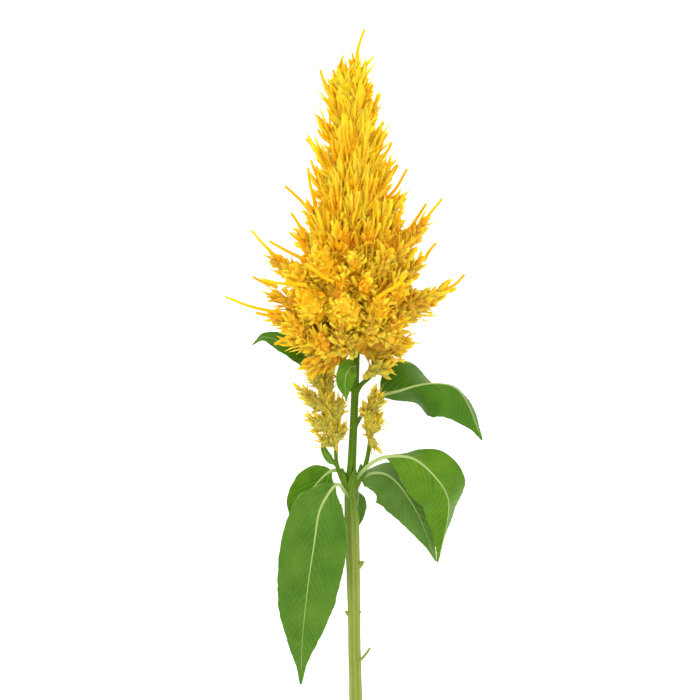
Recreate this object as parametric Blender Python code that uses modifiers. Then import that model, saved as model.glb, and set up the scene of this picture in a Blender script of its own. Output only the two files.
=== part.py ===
"""A cut stem of plume celosia, lying on its back on a flat surface.

Run it with: blender --background --python part.py, or from the text editor.

Metres, +Z up. +Y runs from the cut end of the stem to the tip of the plume, +X is the right of
the flower as it is seen from above, and the surface that it lies on is Z = 0. The origin is on
that surface, under the middle of the whole flower.

The sizes and places below are in millimetres, measured from the leaf node, where the two side
plumes and the largest leaves leave the stem. They are turned to metres where a shape is made.
"""

import math
import random

import bmesh
import bpy
from mathutils import Matrix, Vector
from mathutils.bvhtree import BVHTree

MM = 0.001

# The flower's place. The middle of the whole flower lies this far from the leaf node.
MIDDLE = Vector((0.45, 47.6, 0.0))
# Pieces that meet keep this gap, and so does what passes close by another piece.
GAP = 0.3

# The stem: points on its centre line, and its radius there.
STEM_LINE = [(1.5, -132.5, 3.4), (0.9, -107, 6.4), (-0.2, -60, 12.0), (-0.6, -36, 14.9),
             (-1.6, -8, 18.2), (-1.9, 1, 19.3), (-1.0, 10, 20.4), (0.2, 40, 24.0), (1.2, 66, 27.1)]
STEM_RADII = [3.4, 3.3, 3.2, 3.2, 3.5, 3.7, 2.4, 2.0, 1.9]
STEM_RIBS = 8
RIB_DEPTH = 0.07
STEM_RINGS = 20
# Side stalks that grow out of the stem: points and radii.
STALKS = {
    "left plume": ([(-2.2, -4, 19.5), (-6.2, 3.5, 21.0), (-8.6, 10, 21.6), (-9.2, 16, 21.8)],
                   [2.0, 1.35, 1.1, 1.0]),
    "right plume": ([(-1.0, -2, 19.5), (4.2, 5, 21.5), (6.6, 13, 22.6), (8.0, 21, 23.4)],
                    [2.0, 1.4, 1.15, 1.0]),
    "low branch": ([(0.4, 46, 25.0), (6.0, 52, 28.5), (12.5, 58, 30.5)], [1.3, 1.0, 0.9]),
    "leaf scar": ([(-0.5, -41.5, 14.4), (3.0, -40.5, 15.2), (4.7, -39.5, 15.8)], [2.4, 1.6, 0.9]),
    "cut twig": ([(-0.6, -90.5, 9.5), (4.0, -88.0, 11.0), (8.1, -82.8, 12.0)], [1.1, 0.75, 0.65]),
    "upper bud": ([(-0.6, -64, 12.0), (3.3, -64.6, 12.8)], [1.5, 0.8]),
    "lower bud": ([(0.0, -66, 11.5), (-4.2, -64.5, 12.2)], [1.6, 0.8]),
}

# The main plume: its axis, which carries on from the stem and sinks to the tip as the plume lies
# on its side, and the radius of the dense heart of the plume round it.
AXIS_LINE = [(1.2, 66, 27.1), (1.6, 74, 28.2), (1.8, 86, 28.8), (1.6, 102, 28.2),
             (1.0, 122, 26.0), (0.0, 145, 22.4), (-1.2, 166, 19.0), (-1.4, 187, 16.0),
             (-0.4, 203, 14.0), (0.8, 213, 12.8)]
AXIS_RADII = [1.9, 13.0, 22.0, 26.0, 23.5, 17.0, 12.0, 9.0, 6.0, 1.5]
# Branches of the plume that show at its sides: the height on the axis where each leaves it; its
# tip, as across, along, and above the axis there; and its radius.
SIDE_BRANCHES = [
    # right side, from the lowest
    (71, (23, 61, 3), 4.6),
    (73, (32, 72, 4), 5.2),
    (80, (48, 99, 5), 6.0),
    (86, (36, 114, -4), 5.6),
    (95, (37, 134, 4), 5.2),
    (110, (24, 146, -3), 5.0),
    (128, (15, 163, 4), 4.4),
    (148, (12, 178, -2), 3.6),
    (166, (9.5, 196, 3), 3.0),
    (185, (7, 209, -1), 2.4),
    # left side, from the lowest
    (75, (-27, 56, 0), 5.2),
    (76, (-37, 71, 0), 4.4),
    (77, (-44, 84, 5), 5.6),
    (82, (-46, 97, -2), 5.4),
    (92, (-45, 115, 6), 5.6),
    (104, (-31, 128, -4), 5.6),
    (112, (-25, 140, 5), 5.2),
    (126, (-18, 155, -3), 4.6),
    (144, (-17, 170, 3), 4.0),
    (160, (-14, 184, -2), 3.4),
    (178, (-13, 200, 2), 2.8),
]
# Branches towards the viewer and towards the surface, placed by a spiral rule, and how far they
# reach out of the heart.
FRONT_BRANCHES = 16
BACK_BRANCHES = 7
FRONT_REACH = 16
BACK_REACH = 9
TURN = math.radians(137.5)

# The two small plumes that stand on side stalks at the leaf node.
SMALL_PLUMES = {
    "left_side_plume": {
        "axis": [(-9.2, 16, 21.8), (-11, 27, 22.5), (-12.5, 40, 22.0), (-16.5, 54, 20.5)],
        "radii": [1.0, 5.0, 6.4, 3.6],
        "branches": [(19, (-19.5, 25, 20), 2.8), (22, (-3.0, 32, 26), 3.0),
                     (28, (-25, 35, 25), 3.6), (32, (-4.0, 46, 25), 3.4),
                     (36, (-29, 50, 19), 4.0), (44, (-13, 60, 18), 3.6)],
    },
    "right_side_plume": {
        "axis": [(8.0, 21, 23.4), (8.6, 30, 25.4), (9.5, 40, 27.4), (10.5, 47, 29.0)],
        "radii": [1.0, 3.6, 4.2, 2.0],
        "branches": [(24, (11.5, 16, 24.5), 2.6), (27, (15.0, 33, 27), 3.0),
                     (32, (4.4, 40, 31), 2.6), (36, (14.0, 48, 31), 3.0)],
    },
}

# Florets: pointed bracts that cover every branch.
FLORET_LENGTH = 11.0
FLORET_RADIUS = 3.0
FLORET_FLATNESS = 0.5
FLORET_SPACING = 8.8
HEART_SPACING = 10.8
FLORET_SPREAD = math.radians(36)
# Long bare filaments stand out of the plume: where each starts and where it ends.
FILAMENTS = [
    ((1.0, 209, 13.2), (4.5, 228, 13.0)),
    ((-8, 195, 15.0), (-17, 208.5, 15.0)),
    ((-10, 162, 20.5), (-24, 173.5, 21.0)),
    ((-20, 134, 27.0), (-34.5, 149.5, 27.0)),
    ((-30, 83, 32.0), (-64, 94, 33.0)),
    ((30, 124, 30.0), (44, 143, 30.0)),
    ((13, 141, 25.0), (26.5, 158, 26.0)),
]
FILAMENT_RADIUS = 0.9

# Leaves: the middle line from the stem out, how much of it is petiole, the width of the blade,
# the waves of its edges, and in degrees at even steps from its base to its tip how far the two
# halves fold up from the middle line and how the blade rolls about that line.
LEAVES = {
    "front_left_leaf": {
        "line": [(-0.5, -9, 18.5), (-4.5, -3.5, 23.5), (-8, 0.5, 26.5), (-12.5, -4, 27.5),
                 (-17.5, -14, 26.5), (-20, -30, 23.0), (-23, -50, 17.5), (-26, -78, 9.0),
                 (-27, -102, 2.2)],
        "petiole": 0.13, "width": 34, "waves": 5.0, "wave": 0.9,
        "fold": [8, 13, 13, 8], "roll": [0, 0, 3, 6],
    },
    "back_left_leaf": {
        "line": [(-1.5, 1, 18.5), (-5, 5.5, 18.5), (-10, 7.0, 17.0), (-15, 4, 14.5),
                 (-21, -3, 11.0), (-26, -12, 7.5), (-29, -26, 2.5)],
        "petiole": 0.24, "width": 21, "waves": 3.0, "wave": 0.6,
        "fold": [8, 8], "roll": [0, 0],
    },
    "front_right_leaf": {
        "line": [(-1, 0, 20.5), (5, 7.5, 26.0), (11, 12.4, 29.5), (17.2, 14.3, 31.5),
                 (24.7, 14.4, 32.5), (30.0, 13.0, 32.8), (35.0, 9.6, 32.5), (40.0, 4.6, 31.2),
                 (45.0, -2.0, 28.6), (47.5, -10, 24.6), (46.2, -22, 18.2), (42.3, -40, 9.0)],
        "petiole": 0.24, "width": 31, "waves": 4.0, "wave": 0.8,
        "fold": [-40, -40, -32, -21, -16, -20, -30, -38, -40, -40, -36],
        "roll": [-40, -40, -32, -21, -16, -20, -30, -38, -40, -38, -30],
    },
    "back_right_leaf": {
        "line": [(-1.5, -2, 19.0), (4, 3, 20.0), (9, 5.6, 20.5), (15.5, 5.2, 20.0),
                 (21.5, 1, 18.0), (27.5, -7, 15.0), (33.5, -18, 10.0), (41.6, -39.5, 2.4)],
        "petiole": 0.09, "width": 28, "waves": 3.5, "wave": 0.7,
        "outline": [0.3, 0.8, 1.0, 1.0, 0.93, 0.83, 0.69, 0.52, 0.33, 0.14, 0.03],
        "fold": [-38, -36, -22, -4, 8, 8, 8], "roll": [-38, -36, -24, -6, 0, 0, 0],
    },
    "upper_right_leaf": {
        "line": [(0.0, 28, 22.5), (5, 36.5, 17.5), (10, 42.2, 16.8), (15.3, 45.2, 18.5),
                 (22.2, 46.9, 21.5), (29.7, 49.2, 24.0), (38.4, 50.7, 25.5), (47.5, 50.0, 25.2),
                 (53.5, 46.0, 23.5), (57.8, 39.0, 20.5), (61.0, 31.0, 17.0), (64.7, 22, 12.5)],
        "petiole": 0.24, "width": 38, "waves": 3.5, "wave": 0.5,
        "fold": [-30, -38, -46, -56, -58, -52, -46, -42, -38, -34, -26],
        "roll": [14, 24, 10, -20, -34, -40, -42, -40, -36, -30, -22],
    },
    "upper_left_leaf": {
        "line": [(0.0, 46, 23.5), (-8, 53, 18.5), (-16, 59.5, 13.5), (-25, 65.5, 11.5),
                 (-33, 70.0, 12.0), (-40, 72.8, 11.5), (-46, 74.0, 10.0), (-51.5, 70, 7.0)],
        "petiole": 0.28, "width": 12, "waves": 2.0, "wave": 0.4,
        "fold": [12, 12], "roll": [0, 10],
    },
    "behind_leaf": {
        "line": [(-1.0, -3, 17.5), (1.2, -3.0, 12.5), (2.2, -6, 9.5), (1.2, -15, 6.0),
                 (-1.5, -27, 2.2)],
        "petiole": 0.25, "width": 9, "waves": 2.0, "wave": 0.3,
        "fold": [6, 6], "roll": [0, 0],
    },
    "inner_leaf": {
        "line": [(0.6, 58.5, 26.5), (0.2, 59.5, 32.0), (-2.5, 58.0, 36.5), (-4.5, 52, 36.0),
                 (-3.8, 42, 33.5)],
        "petiole": 0.18, "width": 10, "waves": 2.0, "wave": 0.3,
        "fold": [12, 12], "roll": [4, 0],
    },
    "narrow_leaf": {
        "line": [(-8.0, 8.5, 21.3), (-10.8, 11.0, 20.5), (-14.5, 16.0, 18.0),
                 (-16.5, 22.5, 16.0)],
        "petiole": 0.15, "width": 4.0, "waves": 1.0, "wave": 0.1,
        "fold": [6, 6], "roll": [0, 0],
    },
}
# The half width of a blade at even steps from its base to its tip, as a share of the widest,
# unless the leaf has an outline of its own.
BLADE_OUTLINE = [0.06, 0.68, 0.89, 1.0, 0.98, 0.93, 0.84, 0.66, 0.42, 0.17, 0.03]
BLADE_THICKNESS = 0.7
PETIOLE_RADIUS = 1.0
BLADE_COLUMNS = 4
BLADE_ROWS = 12
SMALL_LEAF_WIDTH = 14
SMALL_LEAF_ROWS = 8

STEM_GREEN = (0.30, 0.42, 0.08)
LEAF_GREEN = (0.09, 0.24, 0.035)
PLUME_YELLOW = (0.95, 0.56, 0.02)


def remove_everything():
    for thing in list(bpy.data.objects):
        bpy.data.objects.remove(thing, do_unlink=True)


def new_collection(name):
    made = bpy.data.collections.new(name)
    bpy.context.scene.collection.children.link(made)
    return made


def material(name, colour, roughness):
    made = bpy.data.materials.new(name)
    made.use_nodes = True
    shader = made.node_tree.nodes["Principled BSDF"]
    shader.inputs["Base Color"].default_value = (*colour, 1.0)
    shader.inputs["Roughness"].default_value = roughness
    shader.inputs["Metallic"].default_value = 0.0
    return made


def finish_of(name, colour, roughness):
    """The material of one sub-part, named after it."""
    return material(name + " finish", colour, roughness)


def place(point):
    """A point in millimetres from the leaf node, as metres from the origin."""
    return (Vector(point) - MIDDLE) * MM


def smooth_line(points, count):
    """count points, evenly spaced in the parameter, on a smooth curve through the given ones."""
    line = [Vector(p) for p in points]
    ends = [line[0] * 2 - line[1], *line, line[-1] * 2 - line[-2]]
    made = []
    for step in range(count):
        at = step / (count - 1) * (len(line) - 1)
        span = min(int(at), len(line) - 2)
        t = at - span
        a, b, c, d = ends[span:span + 4]
        made.append(0.5 * (2 * b + (c - a) * t + (2 * a - 5 * b + 4 * c - d) * t * t
                           + (3 * b - a - 3 * c + d) * t ** 3))
    return made


def smooth_values(values, count):
    return [v.x for v in smooth_line([(v, 0, 0) for v in values], count)]


def object_of(mesh_or_bmesh, name, collection, finish):
    """An object for a mesh, or for a bmesh, which is then freed."""
    mesh = mesh_or_bmesh
    if isinstance(mesh_or_bmesh, bmesh.types.BMesh):
        mesh = bpy.data.meshes.new(name)
        mesh_or_bmesh.to_mesh(mesh)
        mesh_or_bmesh.free()
    made = bpy.data.objects.new(name, mesh)
    collection.objects.link(made)
    mesh.materials.clear()
    if finish is not None:
        mesh.materials.append(finish)
    return made


def evaluated_mesh(thing):
    """The mesh of an object with its modifiers applied."""
    bpy.context.view_layer.update()
    graph = bpy.context.evaluated_depsgraph_get()
    return bpy.data.meshes.new_from_object(thing.evaluated_get(graph), depsgraph=graph)


def tube(name, line, radii, sides, collection, finish, profile=None):
    """A tapered round rod through a line of points in millimetres, as a welded closed mesh."""
    curve = bpy.data.curves.new(name, "CURVE")
    curve.dimensions = "3D"
    curve.use_fill_caps = True
    if profile is None:
        curve.bevel_depth = MM
        curve.bevel_resolution = max(0, sides // 2 - 2)
    else:
        curve.bevel_mode = "OBJECT"
        curve.bevel_object = profile
    spline = curve.splines.new("POLY")
    spline.points.add(len(line) - 1)
    for point, spot, radius in zip(spline.points, line, radii):
        point.co = (*place(spot), 1.0)
        point.radius = radius
    rod = bpy.data.objects.new(name, curve)
    collection.objects.link(rod)
    mesh = evaluated_mesh(rod)
    bpy.data.objects.remove(rod)
    shape = bmesh.new()
    shape.from_mesh(mesh)
    bmesh.ops.remove_doubles(shape, verts=shape.verts, dist=0.02 * MM)
    bmesh.ops.recalc_face_normals(shape, faces=shape.faces)
    for face in shape.faces:
        face.smooth = False
    return object_of(shape, name, collection, finish)


def rib_profile(collection):
    """The ribbed cross-section of the stem, of radius 1 mm, as a closed flat curve."""
    curve = bpy.data.curves.new("rib profile", "CURVE")
    curve.dimensions = "2D"
    spline = curve.splines.new("POLY")
    corners = 2 * STEM_RIBS
    spline.points.add(corners - 1)
    for i, point in enumerate(spline.points):
        radius = MM * (1 if i % 2 else 1 - 2 * RIB_DEPTH)
        angle = math.tau * i / corners
        point.co = (radius * math.cos(angle), radius * math.sin(angle), 0, 1)
    spline.use_cyclic_u = True
    made = bpy.data.objects.new("rib profile", curve)
    made.hide_render = True
    collection.objects.link(made)
    return made


def join_solids(body, pieces, solver="MANIFOLD"):
    """Joins the pieces into body by one Boolean union, and removes them."""
    group = new_collection("joined")
    for piece in pieces:
        for owner in list(piece.users_collection):
            owner.objects.unlink(piece)
        group.objects.link(piece)
    union = body.modifiers.new("join", "BOOLEAN")
    union.operation = "UNION"
    union.operand_type = "COLLECTION"
    union.collection = group
    union.solver = solver
    replace_mesh(body)
    for piece in pieces:
        bpy.data.objects.remove(piece)
    bpy.data.collections.remove(group)


def cut_away(body, cutter, solver="MANIFOLD"):
    cut = body.modifiers.new("cut", "BOOLEAN")
    cut.operation = "DIFFERENCE"
    cut.object = cutter
    cut.solver = solver
    replace_mesh(body)


def replace_mesh(body):
    """Applies all the modifiers of an object."""
    mesh = evaluated_mesh(body)
    body.modifiers.clear()
    body.data = mesh


def keep_largest_piece(body):
    """Drops the loose scraps that a cut leaves."""
    shape = bmesh.new()
    shape.from_mesh(body.data)
    unseen = set(shape.verts)
    pieces = []
    while unseen:
        edge_of_search = [unseen.pop()]
        piece = list(edge_of_search)
        while edge_of_search:
            for link in edge_of_search.pop().link_edges:
                for vertex in link.verts:
                    if vertex in unseen:
                        unseen.remove(vertex)
                        edge_of_search.append(vertex)
                        piece.append(vertex)
        pieces.append(piece)
    largest = max(pieces, key=len)
    scraps = [v for piece in pieces if piece is not largest for v in piece]
    bmesh.ops.delete(shape, geom=scraps, context="VERTS")
    shape.to_mesh(body.data)
    shape.free()


def stem(collection, helpers, finish):
    """The ribbed stem with its side stalks, buds and leaf scar grown out of it."""
    line = smooth_line(STEM_LINE, STEM_RINGS)
    radii = smooth_values(STEM_RADII, STEM_RINGS)
    body = tube("stem", line, radii, 0, collection, finish, rib_profile(helpers))
    grown = []
    for name, (points, thickness) in STALKS.items():
        rings = 2 * len(points) - 1
        grown.append(tube(name, smooth_line(points, rings), smooth_values(thickness, rings),
                          6, helpers, finish))
    join_solids(body, grown)
    return body


def clearance_of(points, radii, grow, helpers, name, rings=16):
    """A plain tube round a line, wider than it by grow: what must stay clear of that line."""
    line = smooth_line(points, rings)
    line[0] += (line[0] - line[1]).normalized() * grow
    line[-1] += (line[-1] - line[-2]).normalized() * grow
    wide = [r + grow for r in smooth_values(radii, rings)]
    made = tube(name, line, wide, 12, helpers, None)
    made.hide_render = True
    made.display_type = "WIRE"
    return made


def even_line(points, count):
    """count points at even distances along the smooth curve through the given ones."""
    fine = smooth_line(points, 20 * len(points))
    run = [0.0]
    for a, b in zip(fine, fine[1:]):
        run.append(run[-1] + (b - a).length)
    made = []
    low = 0
    for step in range(count):
        goal = run[-1] * step / (count - 1)
        while low < len(fine) - 2 and run[low + 1] < goal:
            low += 1
        made.append(fine[low].lerp(fine[low + 1], (goal - run[low]) / (run[low + 1] - run[low])))
    return made


def leaf(name, spec, collection, helpers, finish, cutters):
    """A waved, folded blade along its middle line, with the petiole that carries it."""
    samples = 101
    line = even_line(spec["line"], samples)
    outline = smooth_values(spec.get("outline", BLADE_OUTLINE), samples)
    start = spec["petiole"]
    shape = bmesh.new()
    rows = SMALL_LEAF_ROWS if spec["width"] < SMALL_LEAF_WIDTH else BLADE_ROWS
    bmesh.ops.create_grid(shape, x_segments=BLADE_COLUMNS, y_segments=rows, size=1.0)
    bmesh.ops.triangulate(shape, faces=shape.faces)
    folds = smooth_values(spec["fold"], samples)
    rolls = smooth_values(spec["roll"], samples)
    for vertex in shape.verts:
        across, along = vertex.co.x, (vertex.co.y + 1) / 2
        at = (start + (1 - start) * along) * (samples - 1)
        low = min(int(at), samples - 2)
        spot = line[low].lerp(line[low + 1], at - low)
        forward = (line[min(low + 3, samples - 1)] - line[max(low - 2, 0)]).normalized()
        side = forward.cross(Vector((0, 0, 1))).normalized()
        row = min(round(along * (samples - 1)), samples - 1)
        side = Matrix.Rotation(math.radians(rolls[row]), 3, forward) @ side
        up = side.cross(forward).normalized()
        fold = math.radians(folds[row])
        half = spec["width"] / 2 * outline[row]
        wave = math.sin(math.tau * spec["waves"] * along + (0 if across > 0 else 2.0))
        lift = spec["wave"] * wave * across ** 2 * half * 2 / spec["width"]
        rise = abs(across) * half * math.sin(fold) + lift
        vertex.co = place(spot + side * across * half * math.cos(fold) + up * rise)
    blade = object_of(shape, name, collection, finish)
    thicken = blade.modifiers.new("thickness", "SOLIDIFY")
    thicken.thickness = BLADE_THICKNESS * MM
    thicken.offset = 0
    replace_mesh(blade)
    rings = 6
    reach = start + 0.08
    petiole_line = [line[round(reach * (samples - 1) * i / (rings - 1))] for i in range(rings)]
    slender = PETIOLE_RADIUS if spec["width"] > 12 else 0.6 * PETIOLE_RADIUS
    petiole_radii = [slender * (1.25 - 0.55 * i / (rings - 1)) for i in range(rings)]
    join_solids(blade, [tube("petiole", petiole_line, petiole_radii, 6, helpers, finish)])
    for cutter in cutters:
        cut_away(blade, cutter)
    keep_largest_piece(blade)
    return blade


def floret(spot, direction, length, radius, helpers, finish, turn):
    """One pointed bract: a flattened three-sided cone with its root sunk in what it grows from."""
    shape = bmesh.new()
    bmesh.ops.create_cone(shape, cap_ends=True, segments=3, radius1=radius * MM, radius2=0,
                          depth=length * MM)
    stand = direction.to_track_quat("Z", "Y").to_matrix().to_4x4()
    flatten = Matrix.Diagonal((1.0, FLORET_FLATNESS, 1.0, 1.0))
    base_up = Matrix.Translation((0, 0, length / 2 * MM))
    spin = Matrix.Rotation(turn, 4, "Z")
    root = Matrix.Translation(place(spot))
    bmesh.ops.transform(shape, matrix=root @ stand @ spin @ flatten @ base_up, verts=shape.verts)
    return object_of(shape, "floret", helpers, finish)


def surface_of(thing):
    """A search tree of an object's surface, to keep what grows next to it clear."""
    mesh = thing.data
    return BVHTree.FromPolygons([v.co for v in mesh.vertices], [p.vertices for p in mesh.polygons])


def is_clear(root, way, length, radius, surfaces):
    """Whether a floret keeps its gap to every surface that is given, in millimetres."""
    for step in range(6):
        share = step / 5
        spot = place(root + way * length * share)
        reach = (radius * (1 - share) + GAP + 0.3) * MM
        for surface in surfaces:
            if surface.find_nearest(spot, reach)[0] is not None:
                return False
    return True


def inside_heart(spot, heart):
    """Whether a spot lies within the dense heart of a plume: (points, radii)."""
    return any((spot - point).length < 0.92 * radius for point, radius in zip(*heart))


def cover(line, radii, start, spacing, size, rng, helpers, finish, keep_clear, heart):
    """Florets all over a branch by a spiral rule, from the share start of its length on.

    They stand evenly over its surface, a spacing apart.
    """
    fine = smooth_line(line, 60)
    thick = smooth_values(radii, 60)
    covered = [0.0]
    for a, b, radius in zip(fine, fine[1:], thick):
        covered.append(covered[-1] + (b - a).length * math.tau * (radius + 0.8))
    first = covered[round(59 * start)]
    count = max(3, round((covered[-1] - first) / spacing ** 2))
    angle = rng.uniform(0, math.tau)
    low = 0
    made = []
    for i in range(count):
        goal = first + (covered[-1] - first) * (i + 0.8) / count
        while low < 58 and covered[low + 1] < goal:
            low += 1
        t = low / 59
        forward = (fine[low + 1] - fine[low]).normalized()
        angle += TURN + rng.uniform(-0.25, 0.25)
        out = Matrix.Rotation(angle, 3, forward) @ forward.orthogonal().normalized()
        spread = FLORET_SPREAD * (1.2 - 0.8 * t)
        way = forward * math.cos(spread) + out * math.sin(spread)
        scale = rng.uniform(0.85, 1.15) * size
        spot = fine[low] + out * max(0.45 * thick[low], thick[low] - 2.5)
        long = FLORET_LENGTH * scale
        if inside_heart(spot + way * long * 0.7, heart):
            continue
        if not is_clear(spot, way, long, FLORET_RADIUS * scale, keep_clear):
            continue
        made.append(floret(spot, way, long, FLORET_RADIUS * scale, helpers, finish,
                           rng.uniform(0, math.tau)))
    return made


def feather(root, tip, radius, rng, helpers, finish, keep_clear, heart, size):
    """A branch: its spindle-shaped core, and the florets on it."""
    tip = tip - (tip - root).normalized() * 0.45 * FLORET_LENGTH * size
    middle = root.lerp(tip, 0.55) + Vector((0, -0.06 * (tip - root).length, 0.8))
    line = [root, middle, tip]
    radii = [0.6 * radius, 0.95 * radius, 0.22 * radius]
    pieces = [tube("core", smooth_line(line, 5), smooth_values(radii, 5), 6, helpers, finish)]
    return pieces + cover(line, radii, 0.25, FLORET_SPACING, size, rng, helpers, finish,
                          keep_clear, heart)


def spiral_branches(heart, count, low, high, reach, way):
    """Branches towards the viewer (way 1) or the surface (way -1), shorter towards the top."""
    made = []
    for i in range(count):
        share = i / (count - 1)
        height = low + (high - low) * share
        root, radius = min(zip(*heart), key=lambda p: abs(p[0].y - height))
        length = radius + reach * (1 - 0.65 * share)
        climb = 4 + 20 * share ** 0.6
        sideways = 0.8 * math.sin(i * TURN)
        depth = math.sqrt(1 - sideways ** 2)
        tip = (root.x + length * sideways, root.y + climb, length * depth * way)
        made.append((height, tip, 7.0 - 4.0 * share))
    return made


def plume(collection, helpers, finish, keep_clear):
    """The main plume: its dense heart with feathers all round it."""
    rng = random.Random(11)
    trunk = smooth_line(AXIS_LINE, 80)
    heart = (trunk, smooth_values(AXIS_RADII, 80))
    body = tube("plume", smooth_line(AXIS_LINE, 16), smooth_values(AXIS_RADII, 16), 10,
                collection, finish)
    branches = [*SIDE_BRANCHES,
                *spiral_branches(heart, FRONT_BRANCHES, 74, 196, FRONT_REACH, 1),
                *spiral_branches(heart, BACK_BRANCHES, 78, 180, BACK_REACH, -1)]
    pieces = []
    for height, tip, radius in branches:
        root = min(trunk, key=lambda p: abs(p.y - height))
        size = 0.66 + 0.06 * radius
        pieces += feather(root, Vector(tip) + Vector((0, 0, root.z)), radius, rng, helpers,
                          finish, keep_clear, heart, size)
    pieces += cover(AXIS_LINE, AXIS_RADII, 0.08, HEART_SPACING, 1.0, rng, helpers, finish,
                    keep_clear, ([], []))
    for start, end in FILAMENTS:
        line = [Vector(start), Vector(start).lerp(Vector(end), 0.5) + Vector((0, -1, 0.5)),
                Vector(end)]
        pieces.append(tube("filament", smooth_line(line, 4),
                           [1.2 * FILAMENT_RADIUS, FILAMENT_RADIUS, FILAMENT_RADIUS, 0.4],
                           5, helpers, finish))
    join_solids(body, pieces)
    return body


def side_plume(name, spec, collection, helpers, finish, keep_clear, seed):
    rng = random.Random(seed)
    trunk = smooth_line(spec["axis"], 40)
    heart = (trunk, smooth_values(spec["radii"], 40))
    body = tube(name, smooth_line(spec["axis"], 8), smooth_values(spec["radii"], 8), 6,
                collection, finish)
    pieces = cover(spec["axis"], spec["radii"], 0.1, 6.0, 0.7, rng, helpers, finish, keep_clear,
                   ([], []))
    for height, tip, radius in spec["branches"]:
        root = min(trunk, key=lambda p: abs(p.y - height))
        pieces += feather(root, Vector(tip), radius, rng, helpers, finish, keep_clear, heart, 0.62)
    join_solids(body, pieces)
    return body


def surface_cutter(helpers):
    """A slab below the surface that the flower lies on."""
    shape = bmesh.new()
    bmesh.ops.create_cube(shape, size=1.0)
    bmesh.ops.scale(shape, vec=(0.5, 0.6, 0.05), verts=shape.verts)
    bmesh.ops.translate(shape, vec=(0, 0, -0.025), verts=shape.verts)
    made = object_of(shape, "surface cutter", helpers, None)
    made.hide_render = True
    made.display_type = "WIRE"
    return made


def main():
    remove_everything()
    flower = new_collection("plume celosia")
    helpers = new_collection("cutters")
    body = stem(flower, helpers, finish_of("stem", STEM_GREEN, 0.55))
    cutters = [clearance_of(STEM_LINE, STEM_RADII, GAP, helpers, "stem clearance")]
    for name, (points, radii) in STALKS.items():
        cutters.append(clearance_of(points, radii, GAP, helpers, name + " clearance", 8))
    keep_clear = [surface_of(body)]
    for name, spec in LEAVES.items():
        made = leaf(name, spec, flower, helpers, finish_of(name, LEAF_GREEN, 0.5), cutters)
        keep_clear.append(surface_of(made))

    plumes = [plume(flower, helpers, finish_of("plume", PLUME_YELLOW, 0.6), keep_clear)]
    keep_clear.append(surface_of(plumes[0]))
    for seed, (name, spec) in enumerate(SMALL_PLUMES.items(), 5):
        plumes.append(side_plume(name, spec, flower, helpers,
                                 finish_of(name, PLUME_YELLOW, 0.6), keep_clear, seed))
    slab = surface_cutter(helpers)
    for each in plumes:
        for cutter in cutters:
            cut_away(each, cutter)
        cut_away(each, slab)
        keep_largest_piece(each)
    cut_away(body, slab)


main()
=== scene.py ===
"""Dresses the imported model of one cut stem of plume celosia, lying on its back.

Metres, +Z up. +Y runs from the cut end of the stem to the tip of the plume. Places below are in
millimetres from the leaf node, as in the part's own source, and place() turns them to metres.
"""

import math
import random

import bmesh
import bpy
from bpy.props import (FloatProperty, FloatVectorProperty, IntProperty, PointerProperty)
from mathutils import Matrix, Vector, noise
from mathutils.bvhtree import BVHTree


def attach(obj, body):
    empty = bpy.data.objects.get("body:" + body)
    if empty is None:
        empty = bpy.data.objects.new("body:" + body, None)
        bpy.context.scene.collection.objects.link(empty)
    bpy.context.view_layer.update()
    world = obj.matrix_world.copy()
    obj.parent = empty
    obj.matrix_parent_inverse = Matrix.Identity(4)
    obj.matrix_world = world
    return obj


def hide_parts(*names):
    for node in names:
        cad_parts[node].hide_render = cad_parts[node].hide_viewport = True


bl_info = {
    "name": "Plume Celosia Stem",
    "version": (1, 0, 0),
    "blender": (4, 5, 0),
    "location": "View3D > Sidebar > Celosia",
    "description": "Builds the florets, leaves and stem of a cut plume celosia around its frame",
    "category": "Add Mesh",
}

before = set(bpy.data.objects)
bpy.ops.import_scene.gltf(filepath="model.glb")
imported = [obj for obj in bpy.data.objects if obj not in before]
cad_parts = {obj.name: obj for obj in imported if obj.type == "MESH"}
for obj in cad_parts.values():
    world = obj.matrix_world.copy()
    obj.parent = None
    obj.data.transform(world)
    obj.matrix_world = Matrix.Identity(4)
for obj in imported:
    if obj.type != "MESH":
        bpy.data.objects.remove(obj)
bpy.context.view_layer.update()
# Blender seeds noise_vector from the clock unless a seed is set.
noise.seed_set(4)

MM = 0.001
# The middle of the whole flower lies this far from the leaf node.
MIDDLE = Vector((0.45, 47.6, 0.0))
TURN = math.radians(137.5)
# One unit of a leaf's or a stem's UV map is this many millimetres.
UV_SPAN = 200.0

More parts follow.
